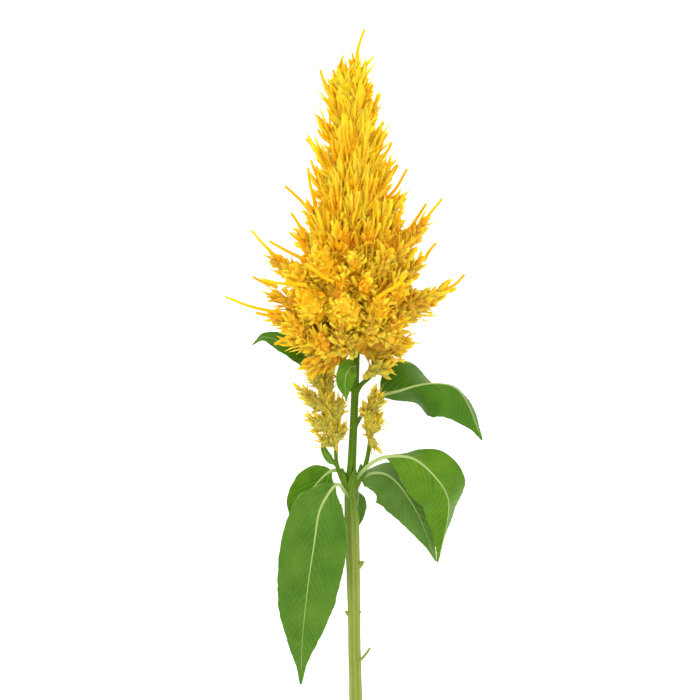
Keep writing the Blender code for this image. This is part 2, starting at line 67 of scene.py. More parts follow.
# The stem: points on its centre line and its radius there, and the side stalks and stubs on it.
STEM_LINE = [(1.5, -132.5, 3.4), (0.9, -107, 6.4), (-0.2, -60, 12.0), (-0.6, -36, 14.9),
             (-1.6, -8, 18.2), (-1.9, 1, 19.3), (-1.0, 10, 20.4), (0.2, 40, 24.0),
             (1.2, 66, 27.1), (1.5, 72, 28.0)]
STEM_RADII = [3.4, 3.3, 3.2, 3.2, 3.5, 3.7, 2.4, 2.0, 1.9, 1.8]
STEM_RINGS = 190
STALKS = [
    ([(-1.6, -6, 19.2), (-4.0, -0.5, 20.4), (-6.2, 3.5, 21.0), (-8.6, 10, 21.6),
      (-9.2, 17, 21.8)], [2.2, 1.6, 1.25, 1.05, 1.0]),
    ([(-0.6, -4, 19.2), (2.2, 2.0, 20.8), (4.2, 5, 21.5), (6.6, 13, 22.6), (8.0, 22, 23.4)],
     [2.2, 1.7, 1.3, 1.1, 1.0]),
    ([(-2.2, -6, 20.2), (-0.8, 1, 22.2), (0.6, 7.5, 23.8)], [2.2, 2.5, 0.8]),
    ([(-2.8, -4, 20.0), (-4.6, 1.5, 21.5), (-6.0, 8, 22.0)], [2.0, 1.9, 0.7]),
    ([(0.0, -3, 20.0), (2.4, 3.5, 21.5), (3.6, 10, 22.5)], [2.0, 1.7, 0.7]),
    ([(0.4, 44, 24.6), (3.0, 49.5, 26.6), (7.5, 53.5, 29.0), (13.5, 59, 31.0)],
     [1.5, 1.2, 1.0, 0.9]),
    ([(-0.5, -43.5, 14.2), (1.6, -41.5, 14.8), (3.6, -40.0, 15.4), (4.7, -38.9, 15.9)],
     [2.6, 2.3, 1.6, 0.7]),
    ([(-0.6, -91.5, 9.4), (2.6, -89.4, 10.4), (5.6, -86.3, 11.4), (8.1, -82.8, 12.0)],
     [1.3, 0.85, 0.7, 0.65]),
    ([(-0.6, -64, 12.0), (1.8, -64.2, 12.5), (3.5, -64.6, 12.8)], [1.6, 1.3, 0.5]),
    ([(0.0, -67, 11.4), (-2.4, -65.6, 11.9), (-4.4, -64.3, 12.2)], [1.9, 1.5, 0.5]),
]

# The main plume's axis, and the radius there of what its branches grow out of.
AXIS_LINE = [(1.2, 66, 27.1), (1.6, 74, 28.2), (1.8, 86, 28.8), (1.6, 102, 28.2),
             (1.0, 122, 26.0), (0.0, 145, 22.4), (-1.2, 166, 19.0), (-1.4, 187, 16.0),
             (-0.8, 199, 14.4), (0.4, 206, 13.4)]
AXIS_RADII = [1.9, 13.0, 22.0, 25.0, 20.0, 12.0, 7.4, 5.2, 3.6, 1.2]
# Branches that show at the plume's sides: the height on the axis where each leaves it; its tip,
# as across, along and above the axis there; its radius; and how olive its florets are.
SIDE_BRANCHES = [
    (71, (23, 61, 3), 4.6, 0.35), (73, (32, 72, 4), 5.2, 0.35), (80, (48, 99, 5), 6.0, 0.4),
    (86, (36, 114, -4), 5.6, 0.5), (95, (37, 134, 4), 5.2, 0.3), (110, (26, 147, -3), 5.0, 0.3),
    (128, (20, 165, 4), 4.6, 0.1), (148, (17, 181, -2), 4.0, 0.05),
    (166, (13, 197, 3), 3.4, 0.0), (185, (8.5, 208, -1), 2.6, 0.0),
    (75, (-27, 56, 0), 5.2, 0.25), (76, (-37, 71, 0), 4.4, 0.25), (77, (-44, 84, 5), 5.6, 0.3),
    (82, (-46, 97, -2), 5.4, 0.3), (92, (-45, 115, 6), 5.6, 0.4),
    (104, (-31, 128, -4), 5.6, 0.15), (112, (-25, 140, 5), 5.2, 0.05),
    (126, (-22, 158, -3), 4.8, 0.05), (144, (-22, 172, 3), 4.2, 0.0),
    (158, (-18, 186, -2), 3.6, 0.0), (174, (-16, 203, 2), 3.0, 0.0),
]
# Small unripe feathers on the lowest branch of the stem: root, tip and radius.
LOW_FEATHERS = [
    ((5.5, 53.5, 30.5), (15, 64.5, 33.5), 2.6), ((9, 56.5, 31), (19.5, 59.5, 33), 2.2),
    ((10, 58, 32), (12.5, 68, 35), 2.4),
]
# Branches that point to the viewer, each seen as a tuft: its tip as across, along and above the
# surface that the flower lies on; its radius; and how olive its florets are.
TUFTS = [
    (-17, 117, 57, 8.0, 0.0), (-5.5, 105.5, 66, 4.2, 0.0), (-5, 92.5, 68, 7.0, 0.05),
    (-26, 96, 58, 7.0, 0.0), (13.5, 93, 64, 6.5, 0.1), (25, 103, 55, 4.6, 0.05),
    (1, 113, 65, 4.6, 0.0), (5, 103, 67, 3.8, 0.0), (-18, 77, 56, 5.2, 0.15),
    (-7, 79, 61, 5.6, 0.5), (10, 85, 61, 5.2, 0.45), (22, 84, 52, 6.0, 0.3),
    (-33, 108, 50, 5.6, 0.2), (-34, 84, 48, 5.4, 0.2), (16, 116, 58, 5.6, 0.45),
    (26, 122, 46, 5.0, 0.4), (-8, 128, 57, 6.2, 0.0), (8, 130, 55, 5.6, 0.1),
    (-18, 137, 46, 5.4, 0.0), (16, 140, 44, 5.0, 0.15), (-1, 145, 48, 5.2, 0.0),
    (-9, 154, 41, 4.6, 0.0), (8, 156, 41, 4.6, 0.05), (0, 166, 36, 4.2, 0.0),
    (-7, 174, 32, 3.6, 0.0), (6, 176, 31, 3.6, 0.0), (0, 188, 27, 3.2, 0.0),
]
# Branches towards the surface that the flower lies on, placed by a spiral rule.
BACK_BRANCHES = 16
BACK_REACH = 9.0
# Long smooth folds of fused florets that climb the spike, and the heights that they start from.
STRANDS = 100
STRAND_HEIGHTS = (100, 192)
STRAND_RINGS = 22
FILAMENT_RINGS = 12
# Points along a branch that bracts are set out from, and along the axes of the plumes.
BRANCH_STEPS = 60
TRUNK_STEPS = 80
SIDE_STEPS = 40
CORE_RINGS, CORE_SIDES = 34, 22
# The dense heart fills this share of the radii on the axis.
HEART_SHARE = 0.9
# Bracts keep clear of leaves and stem, and of the surface that the flower lies on (metres).
LEAF_GAP = 0.0009
SURFACE_GAP = 0.0004

# Ripe seeds that show between the florets: across and along.
SEEDS = [(-7.8, 121.2), (2.2, 132.0), (-11.5, 98.3), (12.5, 102.0)]

# The side plumes: the axis, its radii, and each branch's height on the axis, tip and radius.
SIDE_PLUMES = {
    "left_side_plume": {
        "axis": [(-9.2, 16, 21.8), (-11, 27, 22.5), (-12.5, 40, 22.0), (-16.5, 54, 20.5)],
        "radii": [1.0, 5.0, 6.4, 3.6],
        "branches": [(19, (-19.5, 25, 20), 2.8), (22, (-3.0, 32, 26), 3.0),
                     (28, (-25, 35, 25), 3.6), (32, (-4.0, 46, 25), 3.4),
                     (36, (-29, 50, 19), 4.0), (44, (-13, 60, 18), 3.6),
                     (46, (-25, 62, 19), 3.4), (50, (-19, 68, 20), 3.2)],
    },
    "right_side_plume": {
        "axis": [(8.0, 21, 23.4), (8.6, 30, 25.4), (9.5, 40, 27.4), (10.5, 47, 29.0)],
        "radii": [1.0, 3.6, 4.2, 2.0],
        "branches": [(24, (11.5, 16, 24.5), 2.6), (27, (15.0, 33, 27), 3.0),
                     (32, (4.4, 40, 31), 2.6), (36, (14.0, 48, 31), 3.0)],
    },
}

# Long bare filaments: where each starts and ends, across, along and above the surface.
FILAMENTS = [
    ((1.0, 208, 13.4), (5.2, 229, 13.0)), ((-11, 198, 15), (-17, 208.5, 15)),
    ((-8, 199, 14), (-10.5, 208.5, 15)), ((-9, 178, 18), (-19, 185.5, 18)),
    ((-10, 171, 20), (-18, 178, 22)), ((-13, 165, 21), (-24, 173.5, 21)),
    ((-16, 153, 24), (-21.5, 162.5, 24)), ((-20, 143, 26), (-23, 158.5, 27)),
    ((-23, 138, 27), (-34.5, 149.5, 27)), ((-26, 126, 30), (-31.5, 136, 31)),
    ((-26, 121, 33), (-32, 126, 34)), ((-40, 115, 35), (-51, 127, 36)),
    ((-30, 85, 32), (-64, 94, 33)), ((-28, 114, 44), (-42, 121.5, 42)),
    ((-28, 100, 55), (-45.5, 102.5, 52)), ((-33, 74, 30), (-39.5, 70.5, 29)),
    ((8, 194, 16), (9.5, 201, 16)), ((9, 180, 18), (11.5, 186.5, 18)),
    ((10, 176, 19), (15, 182, 19)), ((12, 166, 21), (16.5, 176, 21)),
    ((13, 164, 22), (19, 171.5, 23)), ((13, 144, 25), (22, 160, 25)),
    ((15, 142, 25), (26.5, 158, 26)), ((22, 123, 30), (24.5, 141, 33)),
    ((24, 123, 29), (36, 140.5, 29)), ((33, 129, 30), (44, 143, 30)),
    ((44, 97, 33), (55, 105, 32)), ((-21, 108, 57), (-10, 101, 65)),
    ((14, 95, 62), (25.5, 104, 61)), ((-39, 84, 34), (-49, 86, 33)),
    ((-41, 100, 28), (-50.5, 104, 27)), ((36, 114, 26), (41, 121, 25)),
]

# Leaves, as in the part's source: the middle line, the share of it that is petiole, the width,
# the waves of the edges, and at even steps how far the halves fold and how the blade rolls. The
# last entry is the leaf's shade of green.
LEAVES = {
    "front_left_leaf": {
        "line": [(-0.5, -9, 18.5), (-4.5, -3.5, 23.5), (-8, 0.5, 26.5), (-12.5, -4, 27.5),
                 (-17.5, -14, 26.5), (-20, -30, 23.0), (-23, -50, 17.5), (-26, -78, 9.0),
                 (-27, -102, 2.2)],
        "petiole": 0.13, "width": 34, "waves": 5.0, "wave": 0.9,
        "fold": [8, 13, 13, 8], "roll": [0, 0, 3, 6], "shade": "mature",
    },
    "back_left_leaf": {
        "line": [(-1.5, 1, 18.5), (-5, 5.5, 18.5), (-10, 7.0, 17.0), (-15, 4, 14.5),
                 (-21, -3, 11.0), (-26, -12, 7.5), (-29, -26, 2.5)],
        "petiole": 0.24, "width": 21, "waves": 3.0, "wave": 0.6,
        "fold": [8, 8], "roll": [0, 0], "shade": "young",
    },
    "front_right_leaf": {
        "line": [(-1, 0, 20.5), (5, 7.5, 26.0), (11, 12.4, 29.5), (17.2, 14.3, 31.5),
                 (24.7, 14.4, 32.5), (30.0, 13.0, 32.8), (35.0, 9.6, 32.5), (40.0, 4.6, 31.2),
                 (45.0, -2.0, 28.6), (47.5, -10, 24.6), (46.2, -22, 18.2), (42.3, -40, 9.0)],
        "petiole": 0.24, "width": 31, "waves": 4.0, "wave": 0.8,
        "fold": [-40, -40, -32, -21, -16, -20, -30, -38, -40, -40, -36],
        "roll": [-40, -40, -32, -21, -16, -20, -30, -38, -40, -38, -30],
        "shade": "bright",
    },
    "back_right_leaf": {
        "line": [(-1.5, -2, 19.0), (4, 3, 20.0), (9, 5.6, 20.5), (15.5, 5.2, 20.0),
                 (21.5, 1, 18.0), (27.5, -7, 15.0), (33.5, -18, 10.0), (41.6, -39.5, 2.4)],
        "petiole": 0.09, "width": 28, "waves": 3.5, "wave": 0.7,
        "outline": [0.3, 0.8, 1.0, 1.0, 0.93, 0.83, 0.69, 0.52, 0.33, 0.14, 0.03],
        "fold": [-38, -36, -22, -4, 8, 8, 8], "roll": [-38, -36, -24, -6, 0, 0, 0],
        "steady": 30,
        "shade": "dull",
    },
    "upper_right_leaf": {
        "line": [(0.0, 28, 22.5), (5, 36.5, 17.5), (10, 42.2, 16.8), (15.3, 45.2, 18.5),
                 (22.2, 46.9, 21.5), (29.7, 49.2, 24.0), (38.4, 50.7, 25.5), (47.5, 50.0, 25.2),
                 (53.5, 46.0, 23.5), (57.8, 39.0, 20.5), (61.0, 31.0, 17.0), (64.7, 22, 12.5)],
        "petiole": 0.24, "width": 38, "waves": 3.5, "wave": 0.5,
        "fold": [-30, -38, -46, -56, -58, -52, -46, -42, -38, -34, -26],
        "roll": [14, 24, 10, -20, -34, -40, -42, -40, -36, -30, -22],
        "steady": 36,
        "shade": "dark",
    },
    "upper_left_leaf": {
        "line": [(0.0, 46, 23.5), (-8, 53, 18.5), (-16, 59.5, 13.5), (-25, 65.5, 11.5),
                 (-33, 70.0, 12.0), (-40, 72.8, 11.5), (-46, 74.0, 10.0), (-51.5, 70, 7.0)],
        "petiole": 0.28, "width": 12, "waves": 2.0, "wave": 0.4,
        "fold": [12, 12], "roll": [0, 10],
        "shade": "dark",
    },
    "behind_leaf": {
        "line": [(-1.0, -3, 17.5), (1.2, -3.0, 12.5), (2.2, -6, 9.5), (1.2, -15, 6.0),
                 (-1.5, -27, 2.2)],
        "petiole": 0.25, "width": 9, "waves": 2.0, "wave": 0.3,
        "fold": [6, 6], "roll": [0, 0], "shade": "dull",
    },
    "inner_leaf": {
        "line": [(0.6, 58.5, 26.5), (0.2, 59.5, 32.0), (-2.5, 58.0, 36.5), (-4.5, 52, 36.0),
                 (-3.8, 42, 33.5)],
        "petiole": 0.18, "width": 10, "waves": 2.0, "wave": 0.3,
        "fold": [12, 12], "roll": [4, 0], "shade": "young",
    },
    "narrow_leaf": {
        "line": [(-8.0, 8.5, 21.3), (-10.8, 11.0, 20.5), (-14.5, 16.0, 18.0),
                 (-16.5, 22.5, 16.0)],
        "petiole": 0.15, "width": 4.0, "waves": 1.0, "wave": 0.1,
        "fold": [6, 6], "roll": [0, 0], "shade": "young",
    },
}
BLADE_OUTLINE = [0.06, 0.68, 0.89, 1.0, 0.98, 0.93, 0.84, 0.66, 0.42, 0.17, 0.03]
# Points along a leaf's line, and the one near the blade's middle that tells its upper side.
BLADE_SAMPLES = 201
MIDDLE_SAMPLE = 120
RIB_RINGS = 46
# The midrib ends at this share of the blade.
RIB_REACH = 0.93
# The greens of a blade: its darker and its lighter tissue, and its side veins.
LEAF_SHADES = {
    "mature": ("3F6A12", "567E20", "7C9C42"),
    "bright": ("426C08", "5A8410", "82A034"),
    "young": ("446F06", "5C8610", "809E36"),
    "dull": ("466C1C", "5E8430", "7E9A50"),
    "dark": ("38640C", "4C7814", "6C8E2C"),
}


def linear(code):
    """A colour from its sRGB hex code, as the linear values that a shader takes."""
    parts = [int(code[i:i + 2], 16) / 255 for i in (0, 2, 4)]
    return [p / 12.92 if p <= 0.04045 else ((p + 0.055) / 1.055) ** 2.4 for p in parts]


def colour_of(name, code, description):
    """A colour property whose default comes from a hex code."""
    return FloatVectorProperty(name=name, description=description, subtype="COLOR", size=3,
                               min=0.0, max=1.0, default=linear(code))


class CelosiaPlumeSettings(bpy.types.PropertyGroup):
    """Sizes and colours of the florets."""
    bract_length: FloatProperty(name="Bract length", description="Length of one floret bract",
                                default=0.0090, min=0.003, max=0.02, subtype="DISTANCE")
    bract_width: FloatProperty(name="Bract width", description="Width of one floret bract",
                               default=0.0050, min=0.0005, max=0.01, subtype="DISTANCE")
    bract_spacing: FloatProperty(name="Bract spacing",
                                 description="Distance between neighbouring bracts on a branch",
                                 default=0.0040, min=0.001, max=0.01, subtype="DISTANCE")
    yellow: colour_of("Yellow", "FFD01C", "Colour of a bract's middle")
    orange: colour_of("Orange", "FFB008", "Colour of a bract's lower half")
    # Amber is partly the bracts' own deeper base colour and partly painted warm shade deep in the
    # plume.
    amber: colour_of("Amber", "F69404", "Colour of a bract's base, deep in the plume")
    olive: colour_of("Olive", "A8A444", "Colour of the unripe florets low on the plume")


class CelosiaLeafSettings(bpy.types.PropertyGroup):
    """Sizes and colours of the leaves."""
    thickness: FloatProperty(name="Thickness", description="Thickness of a blade",
                             default=0.0005, min=0.0002, max=0.002, subtype="DISTANCE")
    vein_spacing: FloatProperty(name="Vein spacing",
                                description="Distance between side veins along the midrib",
                                default=0.0050, min=0.003, max=0.02, subtype="DISTANCE")
    relief: FloatProperty(name="Relief", description="How far the blade swells between veins",
                          default=0.00045, min=0.0, max=0.002, subtype="DISTANCE")
    rib: colour_of("Midrib", "BCCB84", "Colour of petioles and midribs")
    underside: colour_of("Underside", "7FA56A", "Colour of a blade's duller lower face")


class CelosiaStemSettings(bpy.types.PropertyGroup):
    """Sizes and colours of the stem."""
    ribs: IntProperty(name="Ribs", description="Number of ribs round the stem", default=8,
                      min=3, max=16)
    rib_depth: FloatProperty(name="Rib depth", description="Depth of a groove between two ribs,"
                             " as a share of the radius", default=0.11, min=0.0, max=0.4,
                             subtype="FACTOR")
    pale: colour_of("Pale green", "929C46", "Colour of the ribs low on the stem")
    green: colour_of("Green", "6A8030", "Colour of the grooves low on the stem")
    dark: colour_of("Dark green", "4C6E0C", "Colour of the stem between the leaves and plume")
    pith: colour_of("Pith", "DCE3B4", "Colour of the cut end")


class CelosiaStageSettings(bpy.types.PropertyGroup):
    """The camera, the lights and the floor."""
    span: FloatProperty(name="Span", description="Width that the camera takes in at the flower",
                        default=0.350, min=0.1, max=2.0, subtype="DISTANCE")
    lens: FloatProperty(name="Lens", description="Focal length of the camera", default=200.0,
                        min=20.0, max=400.0, unit="CAMERA")
    lamp_power: FloatProperty(name="Lamp power", description="Power of the main soft lamp",
                              default=12.0, min=0.0, max=500.0, unit="POWER")
    floor: colour_of("Floor", "F7F7F5", "Colour of the floor")


class CelosiaSettings(bpy.types.PropertyGroup):
    """All that a user would change."""
    plume: PointerProperty(type=CelosiaPlumeSettings)
    leaf: PointerProperty(type=CelosiaLeafSettings)
    stem: PointerProperty(type=CelosiaStemSettings)
    stage: PointerProperty(type=CelosiaStageSettings)


def place(point):
    """A point in millimetres from the leaf node, as metres in the row frame."""
    return (Vector(point) - MIDDLE) * MM


def smooth_line(points, count):
    """count points on a smooth curve through the given ones."""
    line = [Vector(p) for p in points]
    ends = [line[0] * 2 - line[1], *line, line[-1] * 2 - line[-2]]
    made = []
    for step in range(count):
        at = step / (count - 1) * (len(line) - 1)
        span = min(int(at), len(line) - 2)
        t = at - span
        a, b, c, d = ends[span:span + 4]
        made.append(0.5 * (2 * b + (c - a) * t + (2 * a - 5 * b + 4 * c - d) * t * t
                           + (3 * b - a - 3 * c + d) * t ** 3))
    return made


def smooth_values(values, count):
    """count values on a smooth curve through the given ones."""
    return [v.x for v in smooth_line([(v, 0, 0) for v in values], count)]


def share_of(value, low, high):
    """How far a value is on its way from low to high, from 0 to 1."""
    return min(1.0, max(0.0, (value - low) / (high - low)))


def even_line(points, count):
    """count points at even distances along the smooth curve through the given ones."""
    fine = smooth_line(points, 20 * len(points))
    run = [0.0]
    for a, b in zip(fine, fine[1:]):
        run.append(run[-1] + (b - a).length)
    made = []
    low = 0
    for step in range(count):
        goal = run[-1] * step / (count - 1)
        while low < len(fine) - 2 and run[low + 1] < goal:
            low += 1
        made.append(fine[low].lerp(fine[low + 1], (goal - run[low]) / (run[low + 1] - run[low])))
    return made


def set_inputs(tree, node, inputs):
    """Sets a node's inputs to values, or links them to outputs or to a node's first output."""
    for key, value in inputs.items():
        socket = node.inputs[key]
        if isinstance(value, bpy.types.Node):
            value = next(each for each in value.outputs if each.enabled)
        if isinstance(value, bpy.types.NodeSocket):
            tree.links.new(value, socket)
        else:
            socket.default_value = (*value[:3], 1.0) if socket.type == "RGBA" else value


def add_node(tree, kind, inputs=None, ramp=None, **settings):
    """Adds a node with its settings, its inputs and the stops of its colour ramp."""
    made = tree.nodes.new("ShaderNode" + kind)
    for key, value in settings.items():
        setattr(made, key, value)
    set_inputs(tree, made, inputs or {})
    if ramp:
        stops = made.color_ramp.elements
        while len(stops) < len(ramp):
            stops.new(0.5)
        for stop, (position, colour) in zip(stops, ramp):
            stop.position = position
            stop.color = (*colour[:3], 1.0)
    return made


def new_material(name, roughness, **settings):
    """A material with its shader, whose constants are set on the shader's own sockets."""
    made = bpy.data.materials.new(name)
    made.use_nodes = True
    shader = made.node_tree.nodes["Principled BSDF"]
    constants = {key.replace("_", " "): value for key, value in settings.items()}
    set_inputs(made.node_tree, shader, {"Roughness": roughness, **constants})
    return made, made.node_tree, shader


def finish_piece(name, shape, materials, slot, *nodes):
    """Makes the object of a piece, which rides on the one body and stands for CAD nodes."""
    # What would sink below the surface is pressed flat on it.
    for vertex in shape.verts:
        vertex.co.z = max(vertex.co.z, 0.0001)
    mesh = bpy.data.meshes.new(name)
    shape.to_mesh(mesh)
    shape.free()
    for each in materials:
        mesh.materials.append(each)
    made = bpy.data.objects.new(name, mesh)
    bpy.context.scene.collection.objects.link(made)
    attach(made, "root")
    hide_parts(*nodes)


def join_shapes(target, shape):
    """Adds one bmesh to another, and frees it."""
    mesh = bpy.data.meshes.new("joined")
    shape.to_mesh(mesh)
    shape.free()
    target.from_mesh(mesh)
    bpy.data.meshes.remove(mesh)


def rod(line, radii, sides, profile=None, index=0, roundness=0.0):
    """A tapered rod along a line in millimetres, closed at both ends.

    profile gives the radius's share at an angle round the rod. The UV map "plan" runs round the
    rod in x and along it in y.
    """
    rings = len(line)
    shape = bmesh.new()
    bmesh.ops.create_cone(shape, cap_ends=True, segments=sides, radius1=1, radius2=1, depth=1)
    rising = [e for e in shape.edges if abs(e.verts[0].co.z - e.verts[1].co.z) > 0.5]
    if rings > 2:
        bmesh.ops.subdivide_edges(shape, edges=rising, cuts=rings - 2)
    # The sides of a rod are quads too, so the ends of a four-sided one stay as they are.
    if sides > 4:
        for cap in [f for f in shape.faces if len(f.verts) == sides]:
            bmesh.ops.poke(shape, faces=[cap])
    plan = shape.loops.layers.uv.new("plan")
    length = [0.0]
    for a, b in zip(line, line[1:]):
        length.append(length[-1] + (b - a).length)
    sides_of = []
    side = None
    for i in range(rings):
        forward = (line[min(i + 1, rings - 1)] - line[max(i - 1, 0)]).normalized()
        if side is None:
            side = forward.cross(Vector((0, 0, 1)))
            if side.length < 0.05:
                side = forward.orthogonal()
        side = (side - forward * side.dot(forward)).normalized()
        sides_of.append((side, side.cross(forward).normalized(), forward))
    for face in shape.faces:
        face.smooth = True
        face.material_index = index
        angles = [math.atan2(v.co.y, v.co.x) / math.tau % 1.0 for v in face.verts]
        wraps = max(angles) - min(angles) > 0.5
        for loop, angle in zip(face.loops, angles):
            ring = round((loop.vert.co.z + 0.5) * (rings - 1))
            loop[plan].uv = (angle + (1.0 if wraps and angle < 0.5 else 0.0),
                             length[ring] / UV_SPAN)
    for vertex in shape.verts:
        ring = round((vertex.co.z + 0.5) * (rings - 1))
        across, up, forward = sides_of[ring]
        out = Vector((vertex.co.x, vertex.co.y))
        grow = radii[ring]
        if profile is not None and out.length > 0.5:
            grow *= profile(math.atan2(out.y, out.x))
        spot = line[ring] + (across * out.x + up * out.y) * grow
        if out.length < 0.5 and roundness:
            spot += forward * (roundness * grow * (1 if ring else -1))
        vertex.co = place(spot)
    bmesh.ops.recalc_face_normals(shape, faces=shape.faces)
    return shape


# --- stem ---------------------------------------------------------------------------------------


def stem_skin(sizes):
    """Fresh herbaceous stem: ribbed green skin with pale ridges, satin, faintly fibrous."""
    made, tree, shader = new_material("Fresh green stem skin", 0.55, IOR=1.42,
                                      Subsurface_Weight=0.08, Subsurface_Scale=0.001,
                                      Specular_IOR_Level=0.15)
    plan = add_node(tree, "UVMap", uv_map="plan")
    parts = add_node(tree, "SeparateXYZ", {0: plan})
    # One pale stripe on each rib.
    turn = add_node(tree, "Math", {0: parts.outputs["X"], 1: sizes.ribs * math.tau},
                    operation="MULTIPLY")
    stripe = add_node(tree, "Math", {0: turn}, operation="COSINE")
    where = add_node(tree, "TexCoord")
    # Fibres: streaks 0.4 mm apart, drawn out twenty times along the stem.
    long = add_node(tree, "Mapping", {0: where.outputs["Object"], "Scale": (2500, 120, 2500)})
    fibre = add_node(tree, "TexNoise", {"Vector": long, "Scale": 1.0, "Detail": 3.0})
    blotch = add_node(tree, "TexNoise", {"Vector": where.outputs["Object"], "Scale": 90.0,
                                         "Detail": 2.0})
    mixed = add_node(tree, "Math", {0: stripe, 1: 0.24, 2: 0.12}, operation="MULTIPLY_ADD")
    streaked = add_node(tree, "Math", {0: fibre, 1: 0.55, 2: mixed}, operation="MULTIPLY_ADD")
    share = add_node(tree, "Math", {0: blotch, 1: 0.35, 2: streaked}, operation="MULTIPLY_ADD")
    ribs = add_node(tree, "Mix", {0: share, 6: sizes.green, 7: sizes.pale}, data_type="RGBA")
    # The stem darkens above the leaf node, which lies at y = -0.048 m.
    place_of = add_node(tree, "SeparateXYZ", {0: where.outputs["Object"]})
    height = add_node(tree, "MapRange", {"Value": place_of.outputs["Y"], "From Min": -0.085,
                                         "From Max": -0.035}, interpolation_type="SMOOTHSTEP")
    deep = add_node(tree, "Mix", {0: share, 6: [c * 0.62 for c in sizes.dark],
                                  7: [c * 1.35 for c in sizes.dark]}, data_type="RGBA")
    skin = add_node(tree, "Mix", {0: height, 6: ribs, 7: deep}, data_type="RGBA")
    bump = add_node(tree, "Bump", {"Strength": 0.25, "Distance": 0.0003, "Height": fibre})
    set_inputs(tree, shader, {"Base Color": skin, "Normal": bump})
    return made


def stem_pith(sizes):
    """Freshly cut pith: pale, moist, with a greener rim of vessels."""
    made, tree, shader = new_material("Cut stem pith", 0.6, IOR=1.4, Subsurface_Weight=0.15,
                                      Subsurface_Scale=0.001)
    where = add_node(tree, "TexCoord")
    # Vessels are about 0.5 mm across.
    cells = add_node(tree, "TexVoronoi", {"Vector": where.outputs["Object"], "Scale": 1800.0})
    tint = add_node(tree, "Mix", {0: cells.outputs["Distance"], 6: sizes.pith,
                                  7: sizes.pale}, data_type="RGBA")
    bump = add_node(tree, "Bump", {"Strength": 0.4, "Distance": 0.0002,
                                   "Height": cells.outputs["Distance"]})
    set_inputs(tree, shader, {"Base Color": tint, "Normal": bump})
    return made


class CELOSIA_OT_stem(bpy.types.Operator):
    """Builds the ribbed stem with its side stalks, stubs and cut end"""
    bl_idname = "celosia.stem"
    bl_label = "Build stem"

    def execute(self, context):
        sizes = context.scene.celosia.stem
        rng = random.Random(3)
        line = even_line(STEM_LINE, STEM_RINGS)
        radii = smooth_values(STEM_RADII, STEM_RINGS)
        for i in range(STEM_RINGS):
            wander = noise.noise_vector(Vector((0, 0.06 * i, 4.0)))
            line[i] = line[i] + Vector((wander.x, 0, wander.z)) * 0.25
            radii[i] *= 1 + 0.03 * noise.noise(Vector((7.0, 0.14 * i, 0)))

        def ribbed(angle):
            return 1 - sizes.rib_depth * (0.5 - 0.5 * math.cos(sizes.ribs * angle)) ** 1.3

        shape = rod(line, radii, 8 * sizes.ribs, ribbed)
        lowest = min(v.co.y for v in shape.verts)
        cut = [f for f in shape.faces if all(v.co.y < lowest + 0.0004 for v in f.verts)]
        for face in cut:
            face.material_index = 1
            face.smooth = False
        rim = bmesh.ops.inset_region(shape, faces=cut, thickness=0.0005, depth=-0.0003)
        for face in rim["faces"]:
            face.material_index = 0
        for points, radii in STALKS:
            count = 6 * len(points)
            stalk = even_line(points, count)
            width = [r * (1 + rng.uniform(-0.03, 0.03)) for r in smooth_values(radii, count)]
            join_shapes(shape, rod(stalk, width, 14, roundness=0.5))
        finish_piece("ribbed_stem", shape, [stem_skin(sizes), stem_pith(sizes)], "stem", "stem")
        return {"FINISHED"}


# --- leaves -------------------------------------------------------------------------------------


def vein_place(across_mm, along_mm, spacing):
    """How far a spot is from its nearest side vein, as a share of the distance between two."""
    lag = 1.5 * abs(across_mm) + 0.03 * across_mm ** 2
    at = (along_mm - lag) / spacing + (0.5 if across_mm < 0 else 0.0)
    return abs(at - round(at))


